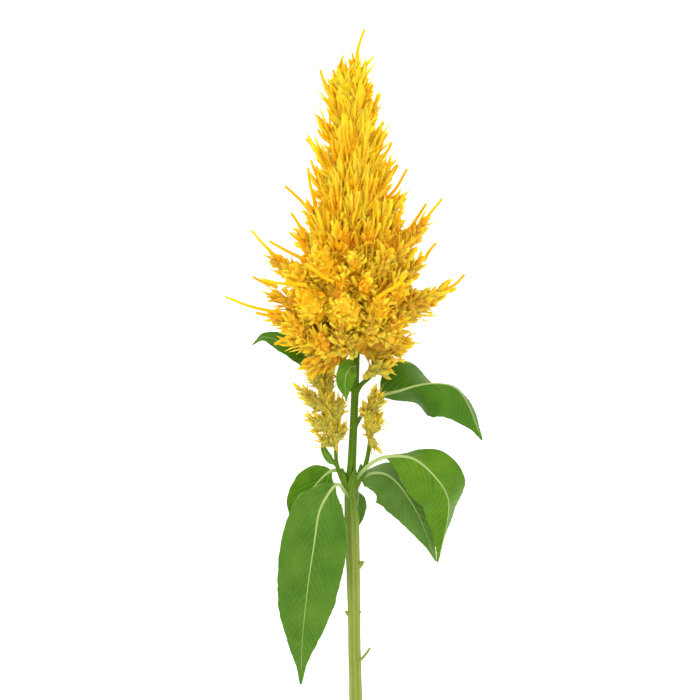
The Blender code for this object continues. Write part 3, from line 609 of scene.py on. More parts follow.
def blade_skin(shade, sizes):
    """Upper face of a fresh leaf: waxy, dark between paler side veins and a fine net."""
    dark, light, vein = (linear(code) for code in LEAF_SHADES[shade])
    made, tree, shader = new_material("Leaf face, " + shade, 0.5, IOR=1.42,
                                      Subsurface_Weight=0.06, Subsurface_Scale=0.0006,
                                      Specular_IOR_Level=0.18)
    plan = add_node(tree, "UVMap", uv_map="plan")
    spot = add_node(tree, "VectorMath", {0: plan, 1: (0.5, 0, 0)}, operation="SUBTRACT")
    parts = add_node(tree, "SeparateXYZ", {0: spot})
    away = add_node(tree, "Math", {0: parts.outputs["X"]}, operation="ABSOLUTE")
    # The side veins leave the midrib at about 35 degrees and sweep towards the tip.
    bend = add_node(tree, "Math", {0: away, 1: 0.03 * UV_SPAN, 2: 1.5}, operation="MULTIPLY_ADD")
    lag = add_node(tree, "Math", {0: away, 1: bend}, operation="MULTIPLY")
    ahead = add_node(tree, "Math", {0: parts.outputs["Y"], 1: lag}, operation="SUBTRACT")
    left = add_node(tree, "Math", {0: parts.outputs["X"], 1: 0.0}, operation="LESS_THAN")
    shifted = add_node(tree, "Math", {0: left, 1: 0.5}, operation="MULTIPLY")
    wobble = add_node(tree, "TexNoise", {"Vector": plan, "Scale": 55.0})
    uneven = add_node(tree, "Math", {0: wobble, 1: 0.6, 2: shifted}, operation="MULTIPLY_ADD")
    count = add_node(tree, "Math", {0: ahead,
                                    1: UV_SPAN * MM / sizes.vein_spacing, 2: uneven},
                     operation="MULTIPLY_ADD")
    nearest = add_node(tree, "Math", {0: count, 1: 0.5}, operation="PINGPONG")
    # A side vein is about 0.5 mm wide, a tenth of the distance between two.
    thin = add_node(tree, "MapRange", {"Value": nearest, "From Min": 0.015,
                                       "From Max": 0.07, "To Min": 1.0, "To Max": 0.0})
    # The vein fades towards the edge of the blade, 17 mm from the midrib.
    fade = add_node(tree, "MapRange", {"Value": away, "From Min": 0.0,
                                       "From Max": 17 / UV_SPAN, "To Min": 0.55, "To Max": 0.08})
    veins = add_node(tree, "Math", {0: thin, 1: fade}, operation="MULTIPLY")
    # The finest net of veins has meshes of about 1 mm.
    net = add_node(tree, "TexVoronoi", {"Vector": plan, "Scale": UV_SPAN / 1.1},
                   feature="DISTANCE_TO_EDGE")
    lace = add_node(tree, "MapRange", {"Value": net.outputs["Distance"], "From Max": 0.12,
                                       "To Min": 0.14, "To Max": 0.0})
    where = add_node(tree, "TexCoord")
    patches = add_node(tree, "TexNoise", {"Vector": where.outputs["Object"], "Scale": 75.0,
                                          "Detail": 4.0, "Roughness": 0.6})
    spread = add_node(tree, "MapRange", {"Value": patches, "From Min": 0.3, "From Max": 0.7})
    tissue = add_node(tree, "Mix", {0: spread, 6: dark, 7: light}, data_type="RGBA")
    laced = add_node(tree, "Mix", {0: lace, 6: tissue, 7: light}, data_type="RGBA")
    face = add_node(tree, "Mix", {0: veins, 6: laced, 7: vein}, data_type="RGBA")
    bump = add_node(tree, "Bump", {"Strength": 0.35, "Distance": 0.0003,
                                   "Height": net.outputs["Distance"]})
    set_inputs(tree, shader, {"Base Color": face, "Normal": bump})
    return made


def blade_underside(sizes):
    """Lower face of the leaf: paler and duller than the upper one."""
    made, tree, shader = new_material("Leaf underside", 0.6, IOR=1.42, Subsurface_Weight=0.06,
                                      Subsurface_Scale=0.0006)
    where = add_node(tree, "TexCoord")
    grain = add_node(tree, "TexNoise", {"Vector": where.outputs["Object"], "Scale": 400.0,
                                        "Detail": 4.0})
    tint = add_node(tree, "Mix", {0: grain,
                                  6: [c * 0.75 for c in sizes.underside],
                                  7: sizes.underside}, data_type="RGBA")
    set_inputs(tree, shader, {"Base Color": tint})
    return made


def midrib_skin(sizes):
    """Petiole and midrib: pale, juicy, finely grooved lengthwise."""
    made, tree, shader = new_material("Pale midrib", 0.45, IOR=1.42, Subsurface_Weight=0.1,
                                      Subsurface_Scale=0.0008)
    plan = add_node(tree, "UVMap", uv_map="plan")
    # Grooves: ten round the petiole, drawn out along it.
    long = add_node(tree, "Mapping", {0: plan, "Scale": (10, 12, 1)})
    fibre = add_node(tree, "TexNoise", {"Vector": long, "Scale": 1.0, "Detail": 2.0})
    tint = add_node(tree, "Mix", {0: fibre, 6: linear("7F9C3C"), 7: sizes.rib}, data_type="RGBA")
    # A petiole is as green as the stem at its foot, and pales over its first 16 mm.
    parts = add_node(tree, "SeparateXYZ", {0: plan})
    low = add_node(tree, "MapRange", {"Value": parts.outputs["Y"], "From Min": 2 / UV_SPAN,
                                      "From Max": 16 / UV_SPAN}, interpolation_type="SMOOTHSTEP")
    greened = add_node(tree, "Mix", {0: low, 6: linear("5A7C1E"), 7: tint}, data_type="RGBA")
    bump = add_node(tree, "Bump", {"Strength": 0.3, "Distance": 0.0002, "Height": fibre})
    set_inputs(tree, shader, {"Base Color": greened, "Normal": bump})
    return made


def leaf_piece(node, spec, sizes, materials, seed):
    """A waved, folded and veined blade along its middle line, with its petiole and midrib."""
    samples = BLADE_SAMPLES
    line = even_line(spec["line"], samples)
    run = sum((b - a).length for a, b in zip(line, line[1:]))
    outline = smooth_values(spec.get("outline", BLADE_OUTLINE), samples)
    start = spec["petiole"]
    # The blade's halves turn with the middle line as it runs this many samples ahead and behind.
    steady = spec.get("steady", 12)
    blade_run = run * (1 - start)
    columns = max(10, 2 * round(spec["width"] * 0.8))
    rows = max(24, round(blade_run * 1.3))
    folds = smooth_values(spec["fold"], samples)
    rolls = smooth_values(spec["roll"], samples)
    spacing = sizes.vein_spacing / MM * (1.0 if spec["width"] > 25 else 0.8)
    shape = bmesh.new()
    bmesh.ops.create_grid(shape, x_segments=columns, y_segments=rows, size=1.0)
    plan = shape.loops.layers.uv.new("plan")
    spots = {}
    for vertex in shape.verts:
        across, along = vertex.co.x, (vertex.co.y + 1) / 2
        at = (start + (1 - start) * along) * (samples - 1)
        low = min(int(at), samples - 2)
        spot = line[low].lerp(line[low + 1], at - low)
        forward = (line[min(low + steady, samples - 1)]
                   - line[max(low + 1 - steady, 0)]).normalized()
        side = forward.cross(Vector((0, 0, 1))).normalized()
        row = min(round(along * (samples - 1)), samples - 1)
        side = Matrix.Rotation(math.radians(rolls[row]), 3, forward) @ side
        up = side.cross(forward).normalized()
        fold = math.radians(folds[row])
        half = spec["width"] / 2 * outline[row]
        # The edge of a real blade is faintly scalloped, every 4 to 5 mm.
        side_of_rib = 1 if across > 0 else -1
        edge = noise.noise(Vector((seed, 3.0 * side_of_rib, along * blade_run / 4.5)))
        half += 0.45 * edge * abs(across) ** 3 * min(1.0, half / 6)
        wave = math.sin(math.tau * spec["waves"] * along + (0 if across > 0 else 2.0))
        lift = spec["wave"] * wave * across ** 2 * half * 2 / spec["width"]
        wide = across * half
        far = along * blade_run
        # The tissue swells between the side veins, less so at the edge and beside the midrib.
        swell = math.cos(math.pi * (1 - 2 * vein_place(wide, far, spacing))) * 0.5 + 0.5
        swell = (swell - 0.5) * min(1.0, abs(wide) / 3.0) * (1 - 0.6 * abs(across))
        rough = noise.noise(Vector((wide / 9, far / 9, seed)))
        rise = (abs(across) * half * math.sin(fold) + lift + swell * sizes.relief / MM
                + 0.5 * rough * min(1.0, abs(wide) / 6))
        spots[vertex] = (wide, far)
        vertex.co = place(spot + side * wide * math.cos(fold) + up * rise)
    bmesh.ops.recalc_face_normals(shape, faces=shape.faces)
    heart = place(line[MIDDLE_SAMPLE])
    middle = min(shape.faces, key=lambda f: (f.calc_center_median() - heart).length)
    if middle.normal.z < 0:
        bmesh.ops.reverse_faces(shape, faces=shape.faces)
    # The lower face is a copy of the upper one, a thickness away, and a rim joins the two.
    shape.normal_update()
    rim = [e for e in shape.edges if e.is_boundary]
    upper = set(shape.faces)
    twins = bmesh.ops.duplicate(shape, geom=[*shape.verts, *shape.edges, *shape.faces])
    below = {v: twins["vert_map"][v] for v in spots}
    for vertex, twin in below.items():
        twin.co = vertex.co - vertex.normal * sizes.thickness
    spots.update({twin: spots[vertex] for vertex, twin in below.items()})
    for edge in rim:
        one, two = edge.verts
        shape.faces.new((one, two, below[two], below[one]))
    for face in shape.faces:
        face.smooth = True
        if face not in upper:
            face.material_index = 1
        for loop in face.loops:
            wide, far = spots[loop.vert]
            loop[plan].uv = (0.5 + wide / UV_SPAN, far / UV_SPAN)
    bmesh.ops.recalc_face_normals(shape, faces=shape.faces)
    # The petiole runs on as the midrib, which stands a little proud of the blade.
    reach = start + (1 - start) * RIB_REACH
    rib_line, rib_radii = [], []
    slim = 1.0 if spec["width"] > 12 else 0.6
    for i in range(RIB_RINGS):
        share = i / (RIB_RINGS - 1) * reach
        rib_line.append(line[round(share * (samples - 1))])
        if share < start:
            inside = share / start
            rib_radii.append(slim * (0.95 + 0.35 * (1 - inside) ** 5))
        else:
            onward = (share - start) / (reach - start)
            rib_radii.append(slim * (0.13 + 0.77 * (1 - onward) ** 2.2))
    rib = rod(rib_line, rib_radii, 12, index=2, roundness=0.6)
    join_shapes(shape, rib)
    finish_piece(node.replace("_leaf", "_blade"), shape, materials, "leaf", node)


class CELOSIA_OT_leaves(bpy.types.Operator):
    """Builds the nine leaves with their petioles and midribs"""
    bl_idname = "celosia.leaves"
    bl_label = "Build leaves"

    def execute(self, context):
        sizes = context.scene.celosia.leaf
        faces = {shade: blade_skin(shade, sizes) for shade in LEAF_SHADES}
        underside, rib = blade_underside(sizes), midrib_skin(sizes)
        for seed, (node, spec) in enumerate(LEAVES.items()):
            leaf_piece(node, spec, sizes, [faces[spec["shade"]], underside, rib], 1.7 * seed + 0.3)
        return {"FINISHED"}


# --- plume --------------------------------------------------------------------------------------


def bract_skin(sizes):
    """Floret bracts: papery, dry and silky, deep yellow, olive where they are unripe."""
    if "Papery yellow bract" in bpy.data.materials:
        return bpy.data.materials["Papery yellow bract"]
    made, tree, shader = new_material("Papery yellow bract", 0.7, IOR=1.4,
                                      Subsurface_Weight=0.6, Subsurface_Scale=0.0022,
                                      Subsurface_Radius=(1.0, 0.5, 0.08),
                                      Specular_IOR_Level=0.15)
    plan = add_node(tree, "UVMap", uv_map="plan")
    parts = add_node(tree, "SeparateXYZ", {0: plan})
    tone = add_node(tree, "Attribute", attribute_name="tone")
    unripe = add_node(tree, "Attribute", attribute_name="unripe")
    # Along a bract: amber at the base, then orange, then yellow to the tip. The amber and orange
    # are partly the bract's own colour and partly painted warm shade between the bracts.
    along = add_node(tree, "ValToRGB", {0: parts.outputs["Y"]}, ramp=[
        (0.0, sizes.amber), (0.4, sizes.orange), (0.75, sizes.yellow),
        (1.0, sizes.yellow)])
    # Each bract has its own shade, from amber to a clear light yellow.
    shades = add_node(tree, "ValToRGB", {0: tone.outputs["Fac"]}, ramp=[
        (0.0, linear("F8A206")), (0.45, sizes.yellow),
        (1.0, linear("FFDA38"))])
    own = add_node(tree, "Mix", {0: 0.5, 6: along, 7: shades}, data_type="RGBA")
    rest = add_node(tree, "Math", {0: parts.outputs["Y"], 1: -0.35, 2: 1.0},
                    operation="MULTIPLY_ADD")
    amount = add_node(tree, "Math", {0: unripe.outputs["Fac"], 1: rest}, operation="MULTIPLY")
    ripened = add_node(tree, "Mix", {0: amount, 6: own, 7: sizes.olive}, data_type="RGBA")
    # Fine lengthwise streaks, three to a bract.
    long = add_node(tree, "Mapping", {0: plan, "Scale": (9, 1.5, 1)})
    streak = add_node(tree, "TexNoise", {"Vector": long, "Scale": 1.0})
    faint = add_node(tree, "MapRange", {"Value": streak, "To Min": 0.9, "To Max": 1.1})
    # Patches about 15 mm across are a deeper orange, and others a lighter yellow.
    where = add_node(tree, "TexCoord")
    patch = add_node(tree, "TexNoise", {"Vector": where.outputs["Object"], "Scale": 60.0,
                                        "Detail": 1.0})
    deeper = add_node(tree, "MapRange", {"Value": patch, "From Min": 0.5,
                                         "From Max": 0.72, "To Max": 0.55})
    ripe = add_node(tree, "Math", {0: deeper, 1: amount}, operation="SUBTRACT", use_clamp=True)
    warmed = add_node(tree, "Mix", {0: ripe, 6: ripened, 7: sizes.amber}, data_type="RGBA")
    lighter = add_node(tree, "MapRange", {"Value": patch, "From Min": 0.48,
                                          "From Max": 0.3, "To Max": 0.4})
    lit = add_node(tree, "Mix", {0: lighter, 6: warmed, 7: linear("FFDA3C")}, data_type="RGBA")
    tint = add_node(tree, "VectorMath", {0: lit, "Scale": faint}, operation="SCALE")
    bump = add_node(tree, "Bump", {"Strength": 0.3, "Distance": 0.0002, "Height": streak})
    set_inputs(tree, shader, {"Base Color": tint, "Normal": bump})
    return made


def seed_coat():
    """Ripe seeds: black and glossy, faintly pitted."""
    made, tree, shader = new_material("Black seed coat", 0.25, IOR=1.5)
    where = add_node(tree, "TexCoord")
    # Pits of about 0.1 mm.
    pits = add_node(tree, "TexNoise", {"Vector": where.outputs["Object"], "Scale": 9000.0})
    tint = add_node(tree, "Mix", {0: pits, 6: linear("1A0E0A"),
                                  7: linear("3A1E14")}, data_type="RGBA")
    set_inputs(tree, shader, {"Base Color": tint})
    return made


def bract_template(bow, flare, twist, fan=0.0):
    """One bract, a millimetre long and wide: a closed pointed tongue that stands along Z.

    bow bends its tip towards +Y, which is away from the branch. flare shifts its widest place.
    twist turns its tip. Its edges are notched. fan opens the tongue towards its tip, to a ruffle.
    """
    shape = bmesh.new()
    bmesh.ops.create_cone(shape, cap_ends=True, segments=4, radius1=0.5, radius2=0.5, depth=1)
    rising = [e for e in shape.edges if abs(e.verts[0].co.z - e.verts[1].co.z) > 0.5]
    bmesh.ops.subdivide_edges(shape, edges=rising, cuts=5)
    plan = shape.loops.layers.uv.new("plan")
    shape.verts.layers.float.new("tone")
    shape.verts.layers.float.new("unripe")
    for face in shape.faces:
        face.smooth = True
        for loop in face.loops:
            loop[plan].uv = (0.5 + loop.vert.co.x, loop.vert.co.z + 0.5)
    for vertex in shape.verts:
        z = vertex.co.z + 0.5
        swell = math.sin(math.pi * min(1.0, 0.26 + 0.74 * z ** flare)) + 0.04
        notch = 1 + 0.12 * math.cos(math.pi * round(6 * z)) * (0 < z < 1)
        swell += fan * (0.25 + 0.75 * z - swell)
        vertex.co.x *= swell * notch
        vertex.co.y = vertex.co.y * (0.12 + 0.1 * swell) * (1 - 0.6 * z) + bow * z * z \
            - 0.6 * abs(vertex.co.x) ** 2
        vertex.co = Matrix.Rotation(twist * z, 3, "Z") @ vertex.co
        vertex.co.z = z
    bmesh.ops.recalc_face_normals(shape, faces=shape.faces)
    mesh = bpy.data.meshes.new("bract")
    shape.to_mesh(mesh)
    shape.free()
    return mesh


def colour_rod(shape, tone, unripe, height, climb=0.0, most=1.0):
    """Gives a rod the colour of one height of a bract, or of more, up to most, as it climbs."""
    for name, value in (("tone", tone), ("unripe", unripe)):
        layer = shape.verts.layers.float.new(name)
        for vertex in shape.verts:
            vertex[layer] = value
    plan = shape.loops.layers.uv["plan"]
    for face in shape.faces:
        for loop in face.loops:
            loop[plan].uv = (loop[plan].uv.x, min(most, height + climb * loop[plan].uv.y))


class Plume:
    """What the branches of one plume share: its templates, its heart and what stays clear."""

    def __init__(self, sizes, heart, clear, seed, scale=1.0, fingers=0.09):
        self.rng = random.Random(seed)
        self.sizes = sizes
        self.heart = heart
        self.fingers = fingers
        self.clear = clear
        self.templates = [bract_template(*shape) for shape in (
            (0.35, 1.0, 0.5), (0.6, 0.8, -0.6), (0.1, 1.3, 0.2), (-0.2, 1.0, -0.3),
            (0.8, 1.1, 1.0))]
        self.ruffles = [bract_template(*shape) for shape in (
            (0.5, 0.8, 1.6, 0.8), (0.7, 0.9, -1.3, 0.6), (-0.3, 1.0, 1.0, 0.9),
            (0.2, 0.8, -2.0, 0.7))]
        self.length = scale * sizes.bract_length / MM
        self.width = scale * sizes.bract_width / MM
        self.spacing = scale * sizes.bract_spacing / MM

    def inside_heart(self, spot):
        """True where a bract would be buried in the dense heart."""
        points, radii = self.heart
        return any((spot - p).length < HEART_SHARE * r for p, r in zip(points, radii))

    def is_free(self, spot, way, length):
        """True where a bract would touch neither a leaf nor the stem nor the surface."""
        for share in (0.3, 0.7, 1.0):
            point = place(spot + way * length * share)
            if point.z < SURFACE_GAP:
                return False
            if any(tree.find_nearest(point, LEAF_GAP)[0] is not None for tree in self.clear):
                return False
        return True

    def bract(self, target, spot, way, out, length, width, tone, unripe, ruffled=0.0):
        """Adds one bract that points along way, with its face turned out."""
        rng = self.rng
        mesh = rng.choice(self.ruffles if rng.random() < ruffled else self.templates).copy()
        thin = (out - way * out.dot(way)).normalized()
        stand = Matrix((thin.cross(way), thin, way)).transposed().to_4x4()
        spin = Matrix.Rotation(rng.uniform(-0.9, 0.9), 4, "Z")
        size = Matrix.Diagonal((width * MM, width * MM, length * MM, 1.0))
        mesh.transform(Matrix.Translation(place(spot)) @ stand @ spin @ size)
        for name, value in (("tone", tone), ("unripe", unripe)):
            mesh.attributes[name].data.foreach_set("value", [value] * len(mesh.vertices))
        target.from_mesh(mesh)
        bpy.data.meshes.remove(mesh)

    def cover(self, target, line, radii, start, spread, long=1.0, dense=1.0, unripe=0.0,
              bright=0.5, in_heart=True, wide=1.0, ruffled=0.0):
        """Bracts all over a branch by a spiral rule, from the share start of its length on."""
        rng = self.rng
        fine = smooth_line(line, BRANCH_STEPS)
        thick = smooth_values(radii, BRANCH_STEPS)
        covered = [0.0]
        for a, b, radius in zip(fine, fine[1:], thick):
            covered.append(covered[-1] + (b - a).length * math.tau * (radius + 0.6))
        first = covered[round((BRANCH_STEPS - 1) * start)]
        count = max(5, round((covered[-1] - first) / (self.spacing / dense) ** 2))
        angle = rng.uniform(0, math.tau)
        low = 0
        for i in range(count):
            goal = first + (covered[-1] - first) * (i + 0.8) / count
            while low < BRANCH_STEPS - 2 and covered[low + 1] < goal:
                low += 1
            t = low / (BRANCH_STEPS - 1)
            forward = (fine[low + 1] - fine[low]).normalized()
            angle += TURN + rng.uniform(-0.3, 0.3)
            out = Matrix.Rotation(angle, 3, forward) @ forward.orthogonal().normalized()
            lean = spread * (1.15 - 0.75 * t) * rng.uniform(0.75, 1.25)
            way = forward * math.cos(lean) + out * math.sin(lean)
            length = self.length * long * rng.uniform(0.75, 1.25) * (1.0 - 0.15 * t)
            spot = fine[low] + out * max(0.7 * thick[low], thick[low] - 1.2)
            if in_heart and self.inside_heart(spot + way * length * 0.8):
                continue
            if not self.is_free(spot, way, length):
                continue
            tone = share_of(bright + rng.gauss(0, 0.2), 0, 1)
            green = unripe * (1.25 - 0.8 * t) + rng.uniform(-0.08, 0.08)
            width = self.width * wide * rng.uniform(0.7, 1.2) * (1.05 - 0.45 * t)
            # Some bracts are long bare fingers.
            finger = rng.random() < self.fingers
            if finger:
                length, width = 1.5 * length, 0.3 * width
            self.bract(target, spot, way, out, length, width, tone, share_of(green, 0, 1),
                       0.0 if finger else ruffled)

    def core(self, target, line, radii, unripe, tone=0.15):
        """The solid middle of a branch, which shows between its bracts."""
        girth = [r * (1 + 0.16 * math.sin(i * 1.3 + tone * 40) * min(1.0, r / 3))
                 for i, r in enumerate(smooth_values(radii, CORE_RINGS))]
        shape = rod(smooth_line(line, CORE_RINGS), girth, CORE_SIDES, roundness=0.5)
        # Its skin is crinkled in folds that run along it, 2 to 3 mm wide.
        along = (Vector(line[-1]) - Vector(line[0])).normalized()
        shape.normal_update()
        deep = min(1.3, 0.35 * max(radii)) * MM
        for vertex in shape.verts:
            spot = vertex.co / MM
            spot -= along * spot.dot(along) * 0.72
            fold = 1 - 2.6 * abs(noise.noise(spot / 2.6)) - abs(noise.noise(spot / 1.2))
            vertex.co += vertex.normal * fold * deep
        colour_rod(shape, tone, unripe, 0.3)
        join_shapes(target, shape)

    def feather(self, target, root, tip, radius, unripe=0.0, long=1.0, spread=0.7, bright=0.5,
                dense=1.0, wide=1.0, ruffled=0.0):
        """A branch: its spindle-shaped core, and the bracts on it."""
        tip = tip - (tip - root).normalized() * 0.55 * self.length * long
        middle = root.lerp(tip, 0.55) + Vector((0, -0.06 * (tip - root).length, 0.8))
        line = [root, middle, tip]
        radii = [0.5 * radius, 0.95 * radius, 0.28 * radius]
        bright += self.rng.uniform(-0.18, 0.18)
        self.core(target, line, radii, unripe, bright - 0.15)
        self.cover(target, line, radii, 0.2, spread, long, dense, unripe, bright, True, wide,
                   ruffled)

    def strand(self, target, trunk, radii, height, angle):
        """A long flat fold of fused florets that climbs the spike and fans out at its tip."""
        rng = self.rng
        low = trunk.index(axis_point(trunk, height))
        climb = rng.uniform(20, 34) * (1.2 - height / 500)
        high = trunk.index(axis_point(trunk, height + climb))
        out = Vector((math.cos(angle), 0, math.sin(angle)))
        reach = radii[high] + rng.uniform(0.5, 4.0) + 1.5 * abs(out.x)
        start = trunk[low] + out * HEART_SHARE * radii[low]
        end = Vector((trunk[low].x, height + climb, trunk[high].z)) + out * reach
        end.x += rng.uniform(-3, 3)
        middle = start.lerp(end, 0.55) + Vector((rng.uniform(-1.5, 1.5) - 0.8 * out.x, 0,
                                                 rng.uniform(0, 1.5)))
        line = smooth_line([start, middle, end], STRAND_RINGS)
        if any(not self.is_free(p, Vector((0, 1, 0)), 1.0) for p in line[::4]):
            return
        girth = rng.uniform(1.5, 3.2)
        thick = [girth * g * (1 + rng.uniform(-0.22, 0.22)) for g in
                 smooth_values([0.5, 0.9, 1.0, 1.0, 0.75, 0.4, 0.12], STRAND_RINGS)]
        shape = rod(line, thick, 8, lambda a: 1 - 0.62 * math.sin(a) ** 2, roundness=1.0)
        for vertex in shape.verts:
            vertex.co += noise.noise_vector(vertex.co / (2.5 * MM)) * 0.5 * MM
        tone = rng.uniform(0.5, 1.0)
        plan = shape.loops.layers.uv["plan"]
        tall = max(loop[plan].uv.y for face in shape.faces for loop in face.loops)
        colour_rod(shape, tone, 0.0, 0.35, 0.6 / tall)
        join_shapes(target, shape)
        # Bracts fringe the upper half of the fold.
        for i in range(6):
            at = rng.randrange(STRAND_RINGS // 3, STRAND_RINGS - 1)
            way = (line[at + 1] - line[at]).normalized()
            edge = way.cross(Vector((0, 0, 1))).normalized() * rng.choice((-1, 1))
            lean = rng.uniform(0.25, 0.7)
            self.bract(target, line[at] + edge * 0.6 * thick[at],
                       way * math.cos(lean) + edge * math.sin(lean), out,
                       self.length * rng.uniform(0.5, 1.1), self.width * rng.uniform(0.25, 0.6),
                       min(1.0, tone + 0.15), 0.0)


def axis_point(trunk, height):
    """The point on a plume's axis that is nearest to a height."""
    return min(trunk, key=lambda p: abs(p.y - height))


def surfaces(*nodes):
    """Search trees of CAD nodes, to keep florets clear of what stands beside them."""
    trees = []
    for name in nodes:
        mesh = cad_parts[name].data
        trees.append(BVHTree.FromPolygons([v.co for v in mesh.vertices],
                                          [p.vertices for p in mesh.polygons]))
    return trees


class CELOSIA_OT_plume(bpy.types.Operator):
    """Builds the main plume: its heart, its branches all round, and their bracts"""
    bl_idname = "celosia.plume"
    bl_label = "Build plume"

    def execute(self, context):
        sizes = context.scene.celosia.plume
        skin = bract_skin(sizes)
        trunk = smooth_line(AXIS_LINE, TRUNK_STEPS)
        radii = smooth_values(AXIS_RADII, TRUNK_STEPS)
        around = surfaces("stem", *LEAVES)
        plume = Plume(sizes, (trunk, radii), around, 21)

        heart = bmesh.new()
        # The heart's skin and the bracts on its lower part take the darkest amber tone: painted
        # shade deep in the plume, beneath the brighter tufts. Their olive is unripe florets.
        plume.core(heart, AXIS_LINE, [HEART_SHARE * r for r in AXIS_RADII], 0.25, 0.05)
        plume.cover(heart, AXIS_LINE[:6], AXIS_RADII[:6], 0.05, 0.5, 1.1, 1.1, 0.3, 0.08, False,
                    1.0, 0.6)
        plume.cover(heart, AXIS_LINE[5:], AXIS_RADII[5:], 0.0, 0.3, 1.6, 0.75, 0.0, 0.5, False,
                    0.75)
        finish_piece("plume_heart", heart, [skin], "florets", "plume")

        strands = bmesh.new()
        for i in range(STRANDS):
            low, high = STRAND_HEIGHTS
            plume.strand(strands, trunk, radii, low + (high - low) * i / STRANDS, i * TURN)
        finish_piece("plume_strands", strands, [skin], "florets", "plume")

        sides = bmesh.new()
        for height, (x, y, above), radius, unripe in SIDE_BRANCHES:
            root = axis_point(trunk, height)
            # Florets are riper, slimmer and longer the higher a branch leaves the axis.
            spike = share_of(height, 95, 135)
            plume.feather(sides, root, Vector((x, y, root.z + above)), radius * (1 - 0.3 * spike),
                          unripe + 0.2 * (1 - spike), 0.9 + 0.5 * spike, 0.55 - 0.2 * spike,
                          0.1 + 0.6 * spike, wide=1 - 0.3 * spike,
                          ruffled=0.3 * (1 - spike))
        for root, tip, radius in LOW_FEATHERS:
            plume.feather(sides, Vector(root), Vector(tip), radius, 1.0, 0.75, 0.5, 0.7, 1.2)
        finish_piece("plume_side_branches", sides, [skin], "florets", "plume")

        tufts = bmesh.new()
        for x, y, z, radius, unripe in TUFTS:
            spike = share_of(y, 110, 150)
            root = axis_point(trunk, y - 10 - 26 * spike)
            root = root + Vector((0.55 * (x - root.x), 0, 4))
            # The largest tufts are smooth folded combs, with short bracts.
            comb = share_of(radius, 6, 7)
            low = share_of(97 - y, 0, 15)
            plume.feather(tufts, root, Vector((x, y, z)),
                          (radius + 1.4 * comb) * (1 - 0.25 * spike), unripe + 0.15 * low,
                          0.85 - 0.25 * comb + 0.75 * spike, 0.6 - 0.3 * spike,
                          0.8 - 0.45 * low, 1.1 - 0.2 * spike, 1 - 0.3 * spike,
                          0.75 * (1 - spike))
        surface = BVHTree.FromBMesh(tufts)
        for across, along in SEEDS:
            spot = surface.ray_cast(place((across, along, 90)), Vector((0, 0, -1)))[0]
            if spot is None:
                continue
            seed = bmesh.new()
            bmesh.ops.create_icosphere(seed, subdivisions=2, radius=0.0007)
            bmesh.ops.scale(seed, vec=(1.0, 0.85, 0.6), verts=seed.verts)
            bmesh.ops.translate(seed, vec=spot, verts=seed.verts)
            for face in seed.faces:
                face.smooth = True
                face.material_index = 1
            join_shapes(tufts, seed)
        finish_piece("plume_front_tufts", tufts, [skin, seed_coat()], "florets", "plume")

        back = bmesh.new()
        for i in range(BACK_BRANCHES):
            share = i / (BACK_BRANCHES - 1)
            height = 76 + 108 * share
            root = axis_point(trunk, height)
            radius = radii[trunk.index(root)]
            length = radius + BACK_REACH * (1 - 0.65 * share)
            sideways = 0.85 * math.sin(i * TURN)
            depth = math.sqrt(1 - sideways ** 2)
            tip = Vector((root.x + length * sideways, root.y + 4 + 20 * share ** 0.6,
                          max(2.5, root.z - length * depth)))
            plume.feather(back, root, tip, 6.5 - 3.5 * share, 0.3 - 0.3 * share, 1.0, 0.7, 0.35)
        finish_piece("plume_back_branches", back, [skin], "florets", "plume")
        return {"FINISHED"}


class CELOSIA_OT_filaments(bpy.types.Operator):
    """Builds the long bare filaments that stand out of the main plume"""
    bl_idname = "celosia.filaments"
    bl_label = "Build filaments"

    def execute(self, context):
        sizes = context.scene.celosia.plume
        rng = random.Random(8)
        shape = bmesh.new()
        for start, end in FILAMENTS:
            start, end = Vector(start), Vector(end)
            run = end - start
            sag = Vector((rng.uniform(-0.1, 0.1), rng.uniform(-0.12, 0.02),
                          rng.uniform(-0.05, 0.1))) * run.length
            points = [start - run * 0.25, start, start.lerp(end, 0.5) + sag, end]
            line = smooth_line(points, FILAMENT_RINGS)
            radii = smooth_values([1.1, 1.0, 0.9, 0.8, 0.7], FILAMENT_RINGS)
            strand = rod(line, radii, 7, roundness=0.7)
            colour_rod(strand, rng.uniform(0.1, 0.5), 0.0, 0.15, 5.0, 0.4)
            join_shapes(shape, strand)
        finish_piece("plume_filaments", shape, [bract_skin(sizes)], "florets", "plume")
        return {"FINISHED"}


class CELOSIA_OT_side_plumes(bpy.types.Operator):
    """Builds the two small plumes on the side stalks"""
    bl_idname = "celosia.side_plumes"
    bl_label = "Build side plumes"

    def execute(self, context):
        sizes = context.scene.celosia.plume
        skin = bract_skin(sizes)
        around = surfaces("stem", *LEAVES)
        for seed, (name, spec) in enumerate(SIDE_PLUMES.items(), 31):
            trunk = smooth_line(spec["axis"], SIDE_STEPS)
            radii = smooth_values(spec["radii"], SIDE_STEPS)
            plume = Plume(sizes, (trunk, [0.6 * r for r in radii]), around, seed, 0.66, 0.3)
            shape = bmesh.new()
            plume.core(shape, spec["axis"], [0.55 * r for r in spec["radii"]], 0.8)
            plume.cover(shape, spec["axis"], [0.65 * r for r in spec["radii"]], 0.05, 0.7, 1.0,
                        0.9, 0.95, 0.5, False)
            for height, tip, radius in spec["branches"]:
                root = axis_point(trunk, height)
                plume.feather(shape, root, Vector(tip), 0.8 * radius, 1.0, 1.0, 0.6, 0.4)
            finish_piece(name + "_florets", shape, [skin], "florets", name)
        return {"FINISHED"}


# --- stage --------------------------------------------------------------------------------------


# Lamps: where each hangs, its size in metres and its share of the power.
LAMPS = [("key lamp", (-0.9, 0.9, 1.6), 1.4, 1.0), ("fill lamp", (1.1, -0.5, 1.5), 1.6, 0.45)]
LIT_PLACE = Vector((0.0, 0.02, 0.03))
# The photo's middle, from the middle of the flower, and the height of most of it.
PHOTO_CENTRE = Vector((-0.00245, 0.0199, 0.028))
SENSOR = 36.0


